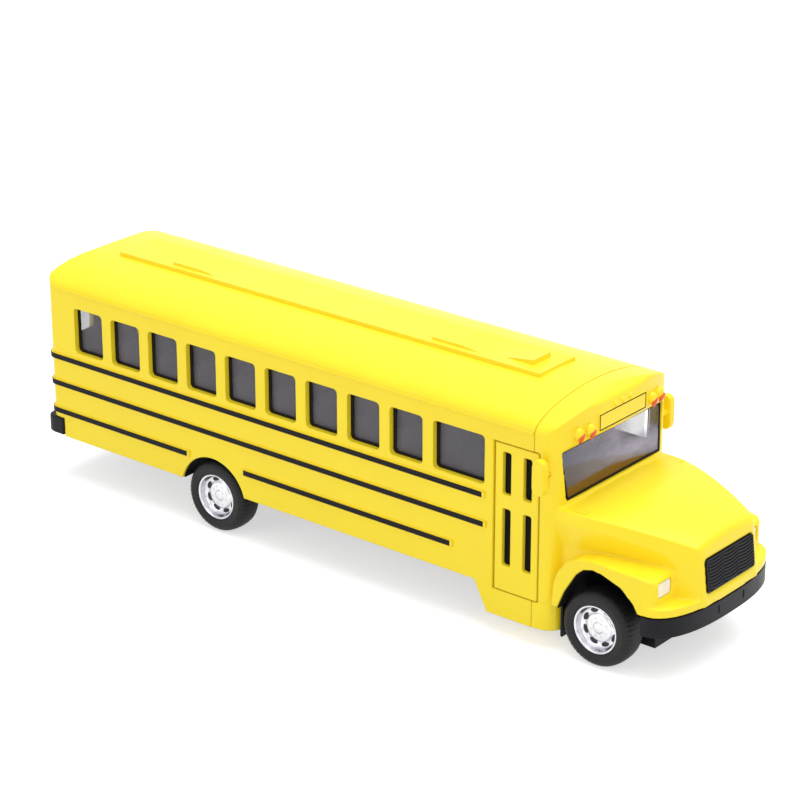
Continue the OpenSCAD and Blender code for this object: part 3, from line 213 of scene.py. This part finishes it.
def span(tree, source, limits, start=0, end=1):
    node = tree.nodes.new("ShaderNodeMapRange")
    for key, value in (("From Min", limits[0]), ("From Max", limits[1]), ("To Min", start), ("To Max", end)):
        node.inputs[key].default_value = value
    tree.links.new(source, node.inputs["Value"])
    return node.outputs["Result"]


def blend(tree, factor, first, second):
    node = tree.nodes.new("ShaderNodeMix")
    node.data_type = "RGBA"
    tree.links.new(factor, node.inputs[MIX_FACTOR])
    node.inputs[MIX_COLOR_A].default_value = first
    tree.links.new(second, node.inputs[MIX_COLOR_B])
    return node.outputs[MIX_COLOR_OUT]


def paint_screen_shade_and_reflection(mat):
    tree = mat.node_tree
    bsdf = tree.nodes["Principled BSDF"]
    coord = tree.nodes.new("ShaderNodeTexCoord")
    split = tree.nodes.new("ShaderNodeSeparateXYZ")
    tree.links.new(coord.outputs["Object"], split.inputs["Vector"])
    across, height = split.outputs["Y"], split.outputs["Z"]
    pale = bsdf.inputs["Base Color"].links[0].from_socket
    shaded = blend(tree, span(tree, across, SHADY_Y), SCREEN_SHADY, pale)
    lift = tree.nodes.new("ShaderNodeMath")
    tree.links.new(height, lift.inputs[0])
    tree.links.new(span(tree, across, SILL_FALL_Y, 0, SILL_FALL), lift.inputs[1])
    # Below this edge the pane gets the painted brown reflection
    above = span(tree, lift.outputs[0], SILL_EDGE_Z)
    tree.links.new(blend(tree, above, SILL_REFLECTION_BROWN, shaded), bsdf.inputs["Base Color"])
    clear = tree.nodes.new("ShaderNodeMath")
    clear.operation = "MULTIPLY"
    tree.links.new(span(tree, height, CLEAR_Z), clear.inputs[0])
    tree.links.new(span(tree, across, CLEAR_Y), clear.inputs[1])
    cloud = tree.nodes.new("ShaderNodeMix")
    tree.links.new(above, cloud.inputs[MIX_FACTOR])
    cloud.inputs[MIX_FLOAT_A].default_value = SILL_ALPHA
    pane_alpha = span(tree, clear.outputs[0], (0, 1), CLOUD_ALPHA, CLEAR_ALPHA)
    tree.links.new(pane_alpha, cloud.inputs[MIX_FLOAT_B])
    tree.links.new(cloud.outputs[MIX_FLOAT_OUT], bsdf.inputs["Alpha"])


paint_screen_shade_and_reflection(SCREEN)
MATS = {
    "paint_yellow": YELLOW, "clear_panes": PANE, "cabin_grey": CABIN, "trim_black": BLACK,
    "lamp_lens": LENS, "steel": STEEL, "rim_silver": CHROME, "tyre_rubber": RUBBER, "gear_plastic": GEAR,
}
NODE_SLOT = {row["node"]: row["material_slot"] for row in frame["record"]["subparts"]}
NODE_BODY = {n: b for b, ns in frame["record"]["behaviour"]["bodies"].items() for n in ns}


# Skins that follow the solids
WELD = 1e-6
FLOW_FACTOR = 0.5


def solid_mesh(node, name):
    source = frame["nodes"][node].data
    mesh = bpy.data.meshes.new(name)
    mesh.from_pydata([v.co[:] for v in source.vertices], [], [p.vertices[:] for p in source.polygons])
    bm = bmesh.new()
    bm.from_mesh(mesh)
    bmesh.ops.remove_doubles(bm, verts=bm.verts, dist=WELD)
    bm.to_mesh(mesh)
    bm.free()
    return mesh


def skin(node):
    name = node + "_skin"
    obj = link(bpy.data.objects.new(name, solid_mesh(node, name)))
    soften(obj)
    return finish_piece(obj, MATS[NODE_SLOT[node]], NODE_BODY[node], [node])


def cast_skin(node, voxel, rounds, keep):
    name = node + "_skin"
    obj = link(bpy.data.objects.new(name, solid_mesh(node, name)))
    remesh = obj.modifiers.new("cast", "REMESH")
    remesh.mode = "VOXEL"
    remesh.voxel_size = voxel * MM
    flow = obj.modifiers.new("flow", "SMOOTH")
    flow.factor = FLOW_FACTOR
    flow.iterations = rounds
    thin = obj.modifiers.new("thin", "DECIMATE")
    thin.ratio = keep
    graph = bpy.context.evaluated_depsgraph_get()
    baked = bpy.data.meshes.new_from_object(obj.evaluated_get(graph))
    obj.modifiers.clear()
    obj.data = baked
    for poly in baked.polygons:
        poly.use_smooth = True
    return finish_piece(obj, MATS[NODE_SLOT[node]], NODE_BODY[node], [node])


for plain in ("body_shell", "side_glazing", "windscreen", "seat_tub", "dashboard", "steering_wheel",
              "entry_door", "chassis", "front_bumper", "headlight_right", "headlight_left"):
    skin(plain)
bpy.data.objects["windscreen_skin"].data.materials[0] = SCREEN
# The dashboard takes the brown painted shade instead of its own cabin grey
bpy.data.objects["dashboard_skin"].data.materials[0] = DASH
cast_skin("front_cap", voxel=0.26, rounds=4, keep=0.45)
cast_skin("rear_bumper", voxel=0.25, rounds=22, keep=0.6)
for side_name in SIDES:
    cast_skin("mirror_" + side_name, voxel=0.2, rounds=8, keep=0.6)
for inner in ("door_hinge_pin", "front_axle", "rear_axle", "drive_case_right", "drive_case_left",
              "axle_gear", "compound_gear", "compound_pin", "spring_gear", "mainspring", "fixing_screws"):
    target = frame["nodes"][inner].data.materials
    target.clear()
    target.append(MATS[NODE_SLOT[inner]])


# Shape helpers
def rounded_loop(w, h, r, steps=6):
    points = []
    for cx, cy, a0 in ((w / 2 - r, h / 2 - r, 0), (r - w / 2, h / 2 - r, 90),
                       (r - w / 2, r - h / 2, 180), (w / 2 - r, r - h / 2, 270)):
        for k in range(steps + 1):
            a = math.radians(a0 + 90 * k / steps)
            points.append((cx + r * math.cos(a), cy + r * math.sin(a)))
    return points


def prism(loop, low, high, place):
    n = len(loop)
    verts = [place(u, v, low) for u, v in loop] + [place(u, v, high) for u, v in loop]
    faces = [list(range(n))[::-1], list(range(n, 2 * n))]
    faces += [[i, (i + 1) % n, n + (i + 1) % n, n + i] for i in range(n)]
    return verts, faces


def frame_prism(outer, inner, low, high, place):
    n = len(outer)
    verts = [place(u, v, d) for loop, d in ((outer, low), (inner, low), (outer, high), (inner, high))
             for u, v in loop]
    faces = []
    for i in range(n):
        j = (i + 1) % n
        faces += [[i, j, n + j, n + i], [2 * n + i, 3 * n + i, 3 * n + j, 2 * n + j],
                  [i, 2 * n + i, 2 * n + j, j], [n + i, n + j, 3 * n + j, 3 * n + i]]
    return verts, faces


def lathe(profile, segments, place, radius=lambda r, h, k: r):
    n = len(profile)
    verts = []
    for k in range(segments):
        a = 2 * math.pi * k / segments
        for r, h in profile:
            rr = radius(r, h, k)
            verts.append(place(rr * math.cos(a), rr * math.sin(a), h))
    faces = []
    for k in range(segments):
        b, c = k * n, ((k + 1) % segments) * n
        faces += [[b + i, b + (i + 1) % n, c + (i + 1) % n, c + i] for i in range(n)]
    return verts, faces


def dome(radius_u, radius_v, height, segments, rings, place):
    verts, faces = [place(0, 0, height)], []
    for j in range(1, rings + 1):
        t = math.pi / 2 * j / rings
        for k in range(segments):
            a = 2 * math.pi * k / segments
            verts.append(place(radius_u * math.sin(t) * math.cos(a), radius_v * math.sin(t) * math.sin(a),
                               height * math.cos(t)))
    for k in range(segments):
        faces.append([0, 1 + k, 1 + (k + 1) % segments])
        for j in range(rings - 1):
            a, b = 1 + j * segments, 1 + (j + 1) * segments
            m = (k + 1) % segments
            faces.append([a + k, b + k, b + m, a + m])
    base = 1 + (rings - 1) * segments
    faces.append([base + k for k in range(segments)][::-1])
    return verts, faces


def joined(parts):
    verts, faces = [], []
    for part_verts, part_faces in parts:
        start = len(verts)
        verts += part_verts
        faces += [[start + i for i in face] for face in part_faces]
    return verts, faces


def cab_front(y):
    return HEADER_X - CAB_BOW * (1 - (1 - (abs(y) / HALF_W) ** CAB_POWER) ** (1 / CAB_POWER))


# Painted rails: black faces that turn round the rear corners
RAILS = [(21.2, (-104.9, -52.4)), (21.2, (-31.7, 38.8)), (29.6, (-104.9, 49.4)), (37.6, (-104.9, 48.9))]
RAIL_PAINT_H = 1.48
PAINT_SUNK, PAINT_PROUD = 0.1, 0.06
CORNER_TURN, CORNER_STEPS = 75, 10


def rail_path(x0, x1):
    corner_x = BODY_X + CORNER_R
    if x0 > corner_x:
        return [(x0, HALF_W, 0), (x1, HALF_W, 0)]
    turns = [math.radians(CORNER_TURN - CORNER_TURN * k / CORNER_STEPS) for k in range(CORNER_STEPS + 1)]
    bend = [(corner_x - CORNER_R * math.sin(t), HALF_W - CORNER_R * (1 - math.cos(t)), t) for t in turns]
    return bend + [(x1, HALF_W, 0)]


def ribbon(path, low, high, z0, z1, side):
    verts, faces = [], []
    for x, y, t in path:
        for d, z in ((low, z0), (high, z0), (high, z1), (low, z1)):
            verts.append((x - d * math.sin(t), side * (y + d * math.cos(t)), z))
    for i in range(len(path) - 1):
        a, b = 4 * i, 4 * i + 4
        faces += [[a + k, a + (k + 1) % 4, b + (k + 1) % 4, b + k] for k in range(4)]
    last = 4 * (len(path) - 1)
    return verts, faces + [[0, 1, 2, 3], [last + 3, last + 2, last + 1, last]]


DRIP_EDGE = [(0.0, -0.45), (0.22, -0.3), (0.3, 0.0), (0.22, 0.3), (0.0, 0.45), (-0.3, 0.0)]
DRIP_REAR_GAP, DRIP_FRONT_GAP = 3.4, 0.2
for side_name, side in SIDES.items():
    half = RAIL_PAINT_H / 2
    strips = [ribbon(rail_path(*span), RAIL_T - PAINT_SUNK, RAIL_T + PAINT_PROUD, z - half, z + half, side)
              for z, span in RAILS]
    piece("rail_paint_" + side_name, *joined(strips), BLACK_PAINT_AND_SHADE, "coach", "trim_black")
    piece("drip_edge_" + side_name,
          *prism(DRIP_EDGE, BODY_X + DRIP_REAR_GAP, SEAM_X - DRIP_FRONT_GAP,
                 lambda u, v, d, s=side: (d, s * (HALF_W + u), EAVE_EDGE_Z + v)),
          YELLOW, "coach", "paint_yellow")

# Header: plate with a thin black frame, marker bumps and hooded beacons
SIGN_Z = 58.3
SIGN_LOOP, SIGN_BACK_X, SIGN_FACE_X = (20, 4.4, 0.6), 72.2, 73.42
FRAME_OUTER, FRAME_INNER = (19.9, 4.3, 0.35), (19.35, 3.75, 0.2)
FRAME_BACK_X, FRAME_FACE_X = 73.3, 73.46
MARKER_X, MARKER_Z, MARKER_GAP = 73.0, 61.5, 3.2
MARKER_DOME = (0.62, 0.5, 0.62, 16, 5)
BEACON_YS = (-17.3, -13.3, 13.3, 17.3)
BEACON_PROUD = 0.2
HOOD_Z, HOOD_DOME = 57.5, (1.6, 1.75, 1.4, 28, 8)
LENS_Z, LENS_DOME = 56.65, (0.85, 1.5, 0.45, 20, 5)
LENS_PROUD, LENS_SHIFT, LENS_LEAN = 1.2, 0.2, 0.08
LENS_TURN_Y, LENS_TURN_Z = (0.8, 0.65), (0.5, 0.7)


def on_sign(u, v, d):
    return (d, u, SIGN_Z + v)


piece("header_plate", *prism(rounded_loop(*SIGN_LOOP), SIGN_BACK_X, SIGN_FACE_X, on_sign),
      YELLOW, "coach", "paint_yellow")
piece("header_frame",
      *frame_prism(rounded_loop(*FRAME_OUTER), rounded_loop(*FRAME_INNER), FRAME_BACK_X, FRAME_FACE_X,
                   on_sign),
      BLACK_PAINT_AND_SHADE, "coach", "trim_black")
markers = [dome(*MARKER_DOME,
                lambda u, v, d, c=k: (MARKER_X + d, c * MARKER_GAP + u, MARKER_Z + v)) for k in (-1, 0, 1)]
piece("header_markers", *joined(markers), YELLOW, "coach", "paint_yellow")
lenses, hoods = [], []
for y in BEACON_YS:
    face_x = cab_front(y) + BEACON_PROUD

    def on_hood(u, v, d, x=face_x, c=y):
        return (x + d, c + u, HOOD_Z + v)

    def on_lens(u, v, d, x=face_x, c=y):
        return (x + LENS_PROUD + d + LENS_LEAN * v,
                c - LENS_SHIFT + u * LENS_TURN_Y[0] + v * LENS_TURN_Y[1],
                LENS_Z + v * LENS_TURN_Z[1] - u * LENS_TURN_Z[0])

    hoods.append(dome(*HOOD_DOME, on_hood))
    lenses.append(dome(*LENS_DOME, on_lens))
piece("beacon_lenses", *joined(lenses), AMBER, "coach", "lamp_lens")
piece("beacon_hoods", *joined(hoods), YELLOW, "coach", "paint_yellow")

# Near-black plates behind the door's slots: painted shade seen through them
SLOT_XS = (55.1, 61.5)
SLOT_W, DOOR_SHADE_W, DOOR_SHADE_MARGIN, DOOR_SHADE_R = 2.6, 3.4, 0.8, 0.9
DOOR_SHADE_FACE_Y, DOOR_SHADE_BACK_Y = 23.9, 23.62
SLOT_ROWS = ((39.4, 11.5), (19.9, 15.7))
door_shades = []
for x in SLOT_XS:
    for z0, h in SLOT_ROWS:
        loop = rounded_loop(DOOR_SHADE_W, h + DOOR_SHADE_MARGIN, DOOR_SHADE_R)
        door_shades.append(prism(loop, DOOR_SHADE_FACE_Y, DOOR_SHADE_BACK_Y,
                             lambda u, v, d, c=x + SLOT_W / 2, m=z0 + h / 2: (c + u, -d, m + v)))
piece("door_window_shade", *joined(door_shades), RECESS_SHADE, "door", "trim_black")

# Dark edges round the panes, wider at the rear and below: painted shadow that the window reveals cast on the
# panes
FIRST_WINDOW_X, WINDOW_PITCH, WINDOW_W, WINDOW_COUNT = -94.5, 14.1667, 10.77, 9
LARGE_WINDOW, DRIVER_WINDOW = (33.0, 16.4), (53.1, 12.3)
PANE_SHADE_REAR, PANE_SHADE_LOW = 0.95, 0.75
PANE_SHADE_ACROSS, PANE_SHADE_UP, PANE_SHADE_R = 1.2, 0.95, 0.8
PANE_SHADE_BACK_Y, PANE_SHADE_FACE_Y = 23.28, 23.52
windows = [(FIRST_WINDOW_X + WINDOW_PITCH * k, WINDOW_W) for k in range(WINDOW_COUNT)] + [LARGE_WINDOW]
for side_name, side in SIDES.items():
    pane_shades = []
    for x0, w in windows + ([DRIVER_WINDOW] if side_name == "left" else []):
        height = WINDOW_TOP - WINDOW_Z
        clear_w, clear_h = w - PANE_SHADE_ACROSS, height - PANE_SHADE_UP
        outer = [(x0 + w / 2 + u, WINDOW_Z + height / 2 + v) for u, v in rounded_loop(w, height, WINDOW_R)]
        inner = [(x0 + PANE_SHADE_REAR + clear_w / 2 + u, WINDOW_Z + PANE_SHADE_LOW + clear_h / 2 + v)
                 for u, v in rounded_loop(clear_w, clear_h, PANE_SHADE_R)]
        pane_shades.append(frame_prism(outer, inner, PANE_SHADE_BACK_Y, PANE_SHADE_FACE_Y,
                                 lambda u, v, d, s=side: (u, s * d, v)))
    piece("window_shade_edges_" + side_name, *joined(pane_shades), BLACK_PAINT_AND_SHADE, "coach", "trim_black")

SCREEN_SILL_X, SCREEN_LEAN, SCREEN_H, SCREEN_SEAL_T = 71.15, 1.4, 13.2, 0.22
seal_outer = [(-20.05, 40.45), (20.05, 40.45), (21.6, 53.35), (-21.6, 53.35)]
seal_inner = [(-19.6, 40.95), (19.6, 40.95), (21.1, 52.85), (-21.1, 52.85)]


def on_screen(u, v, d):
    return (SCREEN_SILL_X - (v - WINDOW_Z) * SCREEN_LEAN / SCREEN_H + d, u, v)


piece("windscreen_seal", *frame_prism(seal_outer, seal_inner, 0.0, SCREEN_SEAL_T, on_screen),
      BLACK_PAINT_AND_SHADE, "coach", "trim_black")

# Tabs on the cowl, and dark marks that paint the shade in the front bumper's notches
TAB_LOOP, TAB_X, TAB_Y, TAB_LOW_Z, TAB_TOP_Z = (4.6, 2.2, 0.5), 75.7, 20.6, 37.2, 39.1
NOTCH_LOOP, NOTCH_Z, NOTCH_YS = (0.45, 2.2, 0.2), 16.4, (-5.5, 5.5)
NOTCH_BACK_X, NOTCH_FACE_X = 106.6, 107.46
tabs = [prism(rounded_loop(*TAB_LOOP), TAB_LOW_Z, TAB_TOP_Z,
              lambda u, v, d, s=side: (TAB_X + u, s * (TAB_Y + v), d)) for side in SIDES.values()]
piece("cowl_tabs", *joined(tabs), YELLOW, "coach", "paint_yellow")
notch_shades = [prism(rounded_loop(*NOTCH_LOOP), NOTCH_BACK_X, NOTCH_FACE_X,
                 lambda u, v, d, c=y: (d, c + u, NOTCH_Z + v)) for y in NOTCH_YS]
piece("bumper_notch_shade", *joined(notch_shades), RECESS_SHADE, "coach", "trim_black")

# Grille: three columns of bent ribs inside a narrow border
LEAN = math.radians(6.5)
NOSE_X, NOSE_SLOPE, NOSE_TOP_Z, NOSE_LOW_Z = 105.5, 1.8, 34.3, 18.9
GRILLE_Z = 26.6
GRILLE_X = NOSE_X + NOSE_SLOPE * (NOSE_TOP_Z - GRILLE_Z) / (NOSE_TOP_Z - NOSE_LOW_Z)
BORDER_OUTER, BORDER_INNER = (20.8, 8.6, 0.8), (20.0, 7.8, 0.5)
PLATE_BACK, PLATE_FACE = -1.35, 0.12
RIB_BACK, RIB_FACE, BORDER_FACE = 0.1, 0.45, 0.4
COLUMN_W = 6.6
RIB_ROWS, RIB_LOW, RIB_PITCH, RIB_HALF = 9, -3.4, 0.85, 0.22
RIB_BEND = [(-3.25, 0.26), (-2.6, 0.1), (-1.3, -0.1), (0, -0.16), (1.3, -0.1), (2.6, 0.1), (3.25, 0.26)]


def on_grille(u, v, d):
    return (GRILLE_X + d * math.cos(LEAN) - v * math.sin(LEAN), u,
            GRILLE_Z + d * math.sin(LEAN) + v * math.cos(LEAN))


border = rounded_loop(*BORDER_OUTER)
ribs = [prism(border, PLATE_BACK, PLATE_FACE, on_grille),
        frame_prism(border, rounded_loop(*BORDER_INNER), RIB_BACK, BORDER_FACE, on_grille)]
for column in (-1, 0, 1):
    for row in range(RIB_ROWS):
        z = RIB_LOW + row * RIB_PITCH
        loop = [(column * COLUMN_W + u, z + v - RIB_HALF) for u, v in RIB_BEND]
        loop += [(column * COLUMN_W + u, z + v + RIB_HALF) for u, v in RIB_BEND[::-1]]
        ribs.append(prism(loop, RIB_BACK, RIB_FACE, on_grille))
piece("grille_skin", *joined(ribs), BLACK, "coach", "trim_black", ["grille"])

# Near-black sheets in the wheel arches: painted shade of the wells
FRONT_ARCH = [(0.01, 0.19), (0.09, 0.49), (0.23, 0.84), (0.32, 0.96), (0.42, 1), (0.52, 0.99), (0.76, 0.87),
              (0.91, 0.67), (0.98, 0.49)]
ARCH_X, ARCH_LEN, ARCH_LOW_Z, ARCH_H = 71.9, 25.4, 10, 16.6
REAR_ARCH_START, REAR_ARCH_SWEEP, REAR_ARCH_STEPS = 164.5, 149, 24
WELL_SHADE_GAP, WELL_SHADE_BACK = 0.08, 0.4
FRONT_WELL_SHADE_Y, REAR_WELL_SHADE_Y = (13.0, 24.5), (16.0, 24.4)


def well_shade_band(points, y0, y1, side):
    verts, faces = [], []
    mid_x = (points[0][0] + points[-1][0]) / 2
    for x, z in points:
        inward = Vector((mid_x - x, HUB_Z - z)).normalized()
        for d in (WELL_SHADE_GAP, WELL_SHADE_BACK):
            for y in (y0, y1):
                verts.append((x + inward.x * d, side * y, z + inward.y * d))
    for i in range(len(points) - 1):
        a, b = 4 * i, 4 * i + 4
        faces += [[a, a + 1, b + 1, b], [a + 3, a + 2, b + 2, b + 3], [a + 1, a + 3, b + 3, b + 1],
                  [a + 2, a, b, b + 2]]
    end = len(verts) - 4
    return verts, faces + [[0, 2, 3, 1], [end, end + 1, end + 3, end + 2]]


front_points = [(ARCH_X + sx * ARCH_LEN, ARCH_LOW_Z + sz * ARCH_H) for sx, sz in FRONT_ARCH]
rear_turns = [math.radians(REAR_ARCH_START - REAR_ARCH_SWEEP * k / REAR_ARCH_STEPS)
              for k in range(REAR_ARCH_STEPS + 1)]
rear_points = [(REAR_AXLE_X + REAR_ARCH_R * math.cos(a), HUB_Z + REAR_ARCH_R * math.sin(a))
               for a in rear_turns]
for side_name, side in SIDES.items():
    wells = [well_shade_band(front_points, *FRONT_WELL_SHADE_Y, side), well_shade_band(rear_points, *REAR_WELL_SHADE_Y, side)]
    piece("arch_well_shade_" + side_name, *joined(wells), RECESS_SHADE, "coach", "trim_black")

# Wheels: tyres with a cut tread, plated rims with lugs and a cap, and dark domes that paint the shade inside
# the rims' slots
TYRE = [(6.5, 0.5), (7.0, 0.1), (8.0, 0.0), (8.8, 0.15), (9.5, 0.6), (9.95, 1.3), (10.15, 2.2), (10.25, 3.2),
        (10.25, 4.8), (10.15, 5.8), (9.95, 6.7), (9.5, 7.4), (8.9, 7.85), (8.3, 8.0), (8.1, 7.88), (7.5, 7.9),
        (7.0, 7.82), (6.7, 7.68), (6.5, 7.4)]
RIM = [(1.3, 0.4), (6.4, 0.4), (6.5, 0.6), (6.5, 7.3), (6.4, 7.56), (6.2, 7.62), (5.98, 7.5), (5.85, 7.2),
       (5.75, 6.6), (5.55, 5.95), (5.2, 5.5), (4.6, 5.3), (4.0, 5.42), (3.75, 5.65), (3.6, 5.82), (3.4, 5.9),
       (2.5, 5.85), (1.7, 5.85), (1.48, 5.95), (1.38, 6.15), (1.15, 6.28), (0.6, 6.32), (0.02, 6.33),
       (0.02, 5.0), (1.3, 5.0)]
TYRE_SEGMENTS, RIM_SEGMENTS, RIM_SLOTS = 240, 72, 8
WHEEL_ANGLE = 40
TREAD_DEPTH, TREAD_STEP = 0.16, 5
TREAD_FROM_R, TREAD_BANDS = 9.3, ((0.5, 2.9), (5.1, 7.5))
LUG_R, LUG_H, LUG_DOME = 2.5, 5.82, (0.3, 0.3, 0.26, 10, 3)
SLOT_R, SLOT_H, SLOT_DOME = 4.62, 5.28, (0.72, 1.3, 0.34, 20, 4)


def tread(r, h, k):
    in_tread = r > TREAD_FROM_R and any(low < h < high for low, high in TREAD_BANDS)
    return r - TREAD_DEPTH if in_tread and k % TREAD_STEP == 0 else r


for axle, axle_x in (("front", FRONT_AXLE_X), ("rear", REAR_AXLE_X)):
    for side_name, side in SIDES.items():
        body = axle + "_wheelset"
        tag = axle + "_" + side_name

        def on_wheel(u, v, h, x=axle_x, s=side):
            return (x + u, s * (TYRE_BACK_Y + h), HUB_Z + v)

        piece("tyre_" + tag + "_skin", *lathe(TYRE, TYRE_SEGMENTS, on_wheel, tread), RUBBER, body,
              "tyre_rubber", ["tyre_" + tag], WHEEL_ANGLE)
        parts = [lathe(RIM, RIM_SEGMENTS, on_wheel)]
        slot_shades = []
        for k in range(RIM_SLOTS):
            turn = 2 * math.pi * (k + 0.5) / RIM_SLOTS

            def on_lug(u, v, d, c=math.cos(turn), s=math.sin(turn)):
                return on_wheel(LUG_R * c + u, LUG_R * s + v, LUG_H + d)

            def on_slot(u, v, d, c=math.cos(turn), s=math.sin(turn)):
                return on_wheel((SLOT_R + u) * c - v * s, (SLOT_R + u) * s + v * c, SLOT_H + d)

            parts.append(dome(*LUG_DOME, on_lug))
            slot_shades.append(dome(*SLOT_DOME, on_slot))
        piece("rim_" + tag + "_skin", *joined(parts), CHROME, body, "rim_silver", ["rim_" + tag],
              WHEEL_ANGLE)
        piece("rim_" + tag + "_slot_shade", *joined(slot_shades), RIM_SLOT_SHADE, body, "trim_black")

# Floor and world, which show white and light the bus less
FLOOR_HALF = 3000
FLOOR_LIT, FLOOR_SHOWN = 0.0, 0.58
WORLD_LIT, WORLD_SHOWN = 0.5, 1.0


def shown_strength(tree, lit, shown, socket):
    path = tree.nodes.new("ShaderNodeLightPath")
    direct = tree.nodes.new("ShaderNodeMath")
    direct.operation = "MAXIMUM"
    tree.links.new(path.outputs["Is Camera Ray"], direct.inputs[0])
    tree.links.new(path.outputs["Is Glossy Ray"], direct.inputs[1])
    any_view = tree.nodes.new("ShaderNodeMath")
    any_view.operation = "MAXIMUM"
    tree.links.new(direct.outputs[0], any_view.inputs[0])
    tree.links.new(path.outputs["Is Transmission Ray"], any_view.inputs[1])
    level = tree.nodes.new("ShaderNodeMapRange")
    level.inputs["To Min"].default_value = lit
    level.inputs["To Max"].default_value = shown
    tree.links.new(any_view.outputs[0], level.inputs["Value"])
    tree.links.new(level.outputs["Result"], socket)


corners = [(FLOOR_HALF * u, FLOOR_HALF * v, 0) for u, v in ((-1, -1), (1, -1), (1, 1), (-1, 1))]
floor_mesh = new_mesh("floor", corners, [[0, 1, 2, 3]])
floor = link(bpy.data.objects.new("floor", floor_mesh))
pale = shade("pale_floor", (0.8, 0.8, 0.8), 0.8, tint=0.01, grain=4, specular=0.1)
glow = pale.node_tree.nodes["Principled BSDF"]
glow.inputs["Emission Color"].default_value = (1, 1, 1, 1)
shown_strength(pale.node_tree, FLOOR_LIT, FLOOR_SHOWN, glow.inputs["Emission Strength"])
floor.data.materials.append(pale)
world = bpy.data.worlds.new("studio")
bpy.context.scene.world = world
world.use_nodes = True
sky = world.node_tree.nodes["Background"]
sky.inputs["Color"].default_value = (1, 1, 1, 1)
shown_strength(world.node_tree, WORLD_LIT, WORLD_SHOWN, sky.inputs["Strength"])


# Lamps and camera
def area(name, power, size, place, aim):
    lamp = bpy.data.lights.new(name, "AREA")
    lamp.energy = power
    lamp.shape = "DISK"
    lamp.size = size
    obj = link(bpy.data.objects.new(name, lamp))
    obj.location = place
    obj.rotation_euler = (Vector(aim) - Vector(place)).to_track_quat("-Z", "Y").to_euler()


area("top_light", power=9.0, size=1.2, place=(0.12, 0.12, 0.95), aim=(0, 0, 0.03))
area("front_light", power=1.0, size=0.6, place=(0.7, -0.5, 0.45), aim=(0.03, 0, 0.03))
area("side_light", power=1.1, size=0.6, place=(-0.25, -0.8, 0.35), aim=(0, 0, 0.03))

AZ, EL, ROLL = math.radians(39.2), math.radians(22.29), math.radians(-0.07)
EYE_BACK, EYE_RIGHT, EYE_UP, EYE_SHIFT = 766.75, 1.85, 39.1, Vector((0.5, 0, 0))
SENSOR_W, FOCAL_PX, PHOTO_PX = 36, 2824.82, 800
NEAR_CLIP = 0.05
back = Vector((math.sin(AZ) * math.cos(EL), -math.cos(AZ) * math.cos(EL), math.sin(EL)))
right = Vector((math.cos(AZ), math.sin(AZ), 0))
up = back.cross(right)
eye = (back * EYE_BACK + right * EYE_RIGHT + up * EYE_UP - EYE_SHIFT) * MM
turned_right = right * math.cos(ROLL) + up * math.sin(ROLL)
turned_up = up * math.cos(ROLL) - right * math.sin(ROLL)
camera_data = bpy.data.cameras.new("photo_camera")
camera_data.sensor_width = SENSOR_W
camera_data.lens = FOCAL_PX / PHOTO_PX * SENSOR_W
camera_data.clip_start = NEAR_CLIP
camera = link(bpy.data.objects.new("photo_camera", camera_data))
camera.matrix_world = Matrix((
    (turned_right.x, turned_up.x, back.x, eye.x),
    (turned_right.y, turned_up.y, back.y, eye.y),
    (turned_right.z, turned_up.z, back.z, eye.z),
    (0, 0, 0, 1),
))
bpy.context.scene.camera = camera
bpy.context.scene.view_settings.view_transform = "Standard"
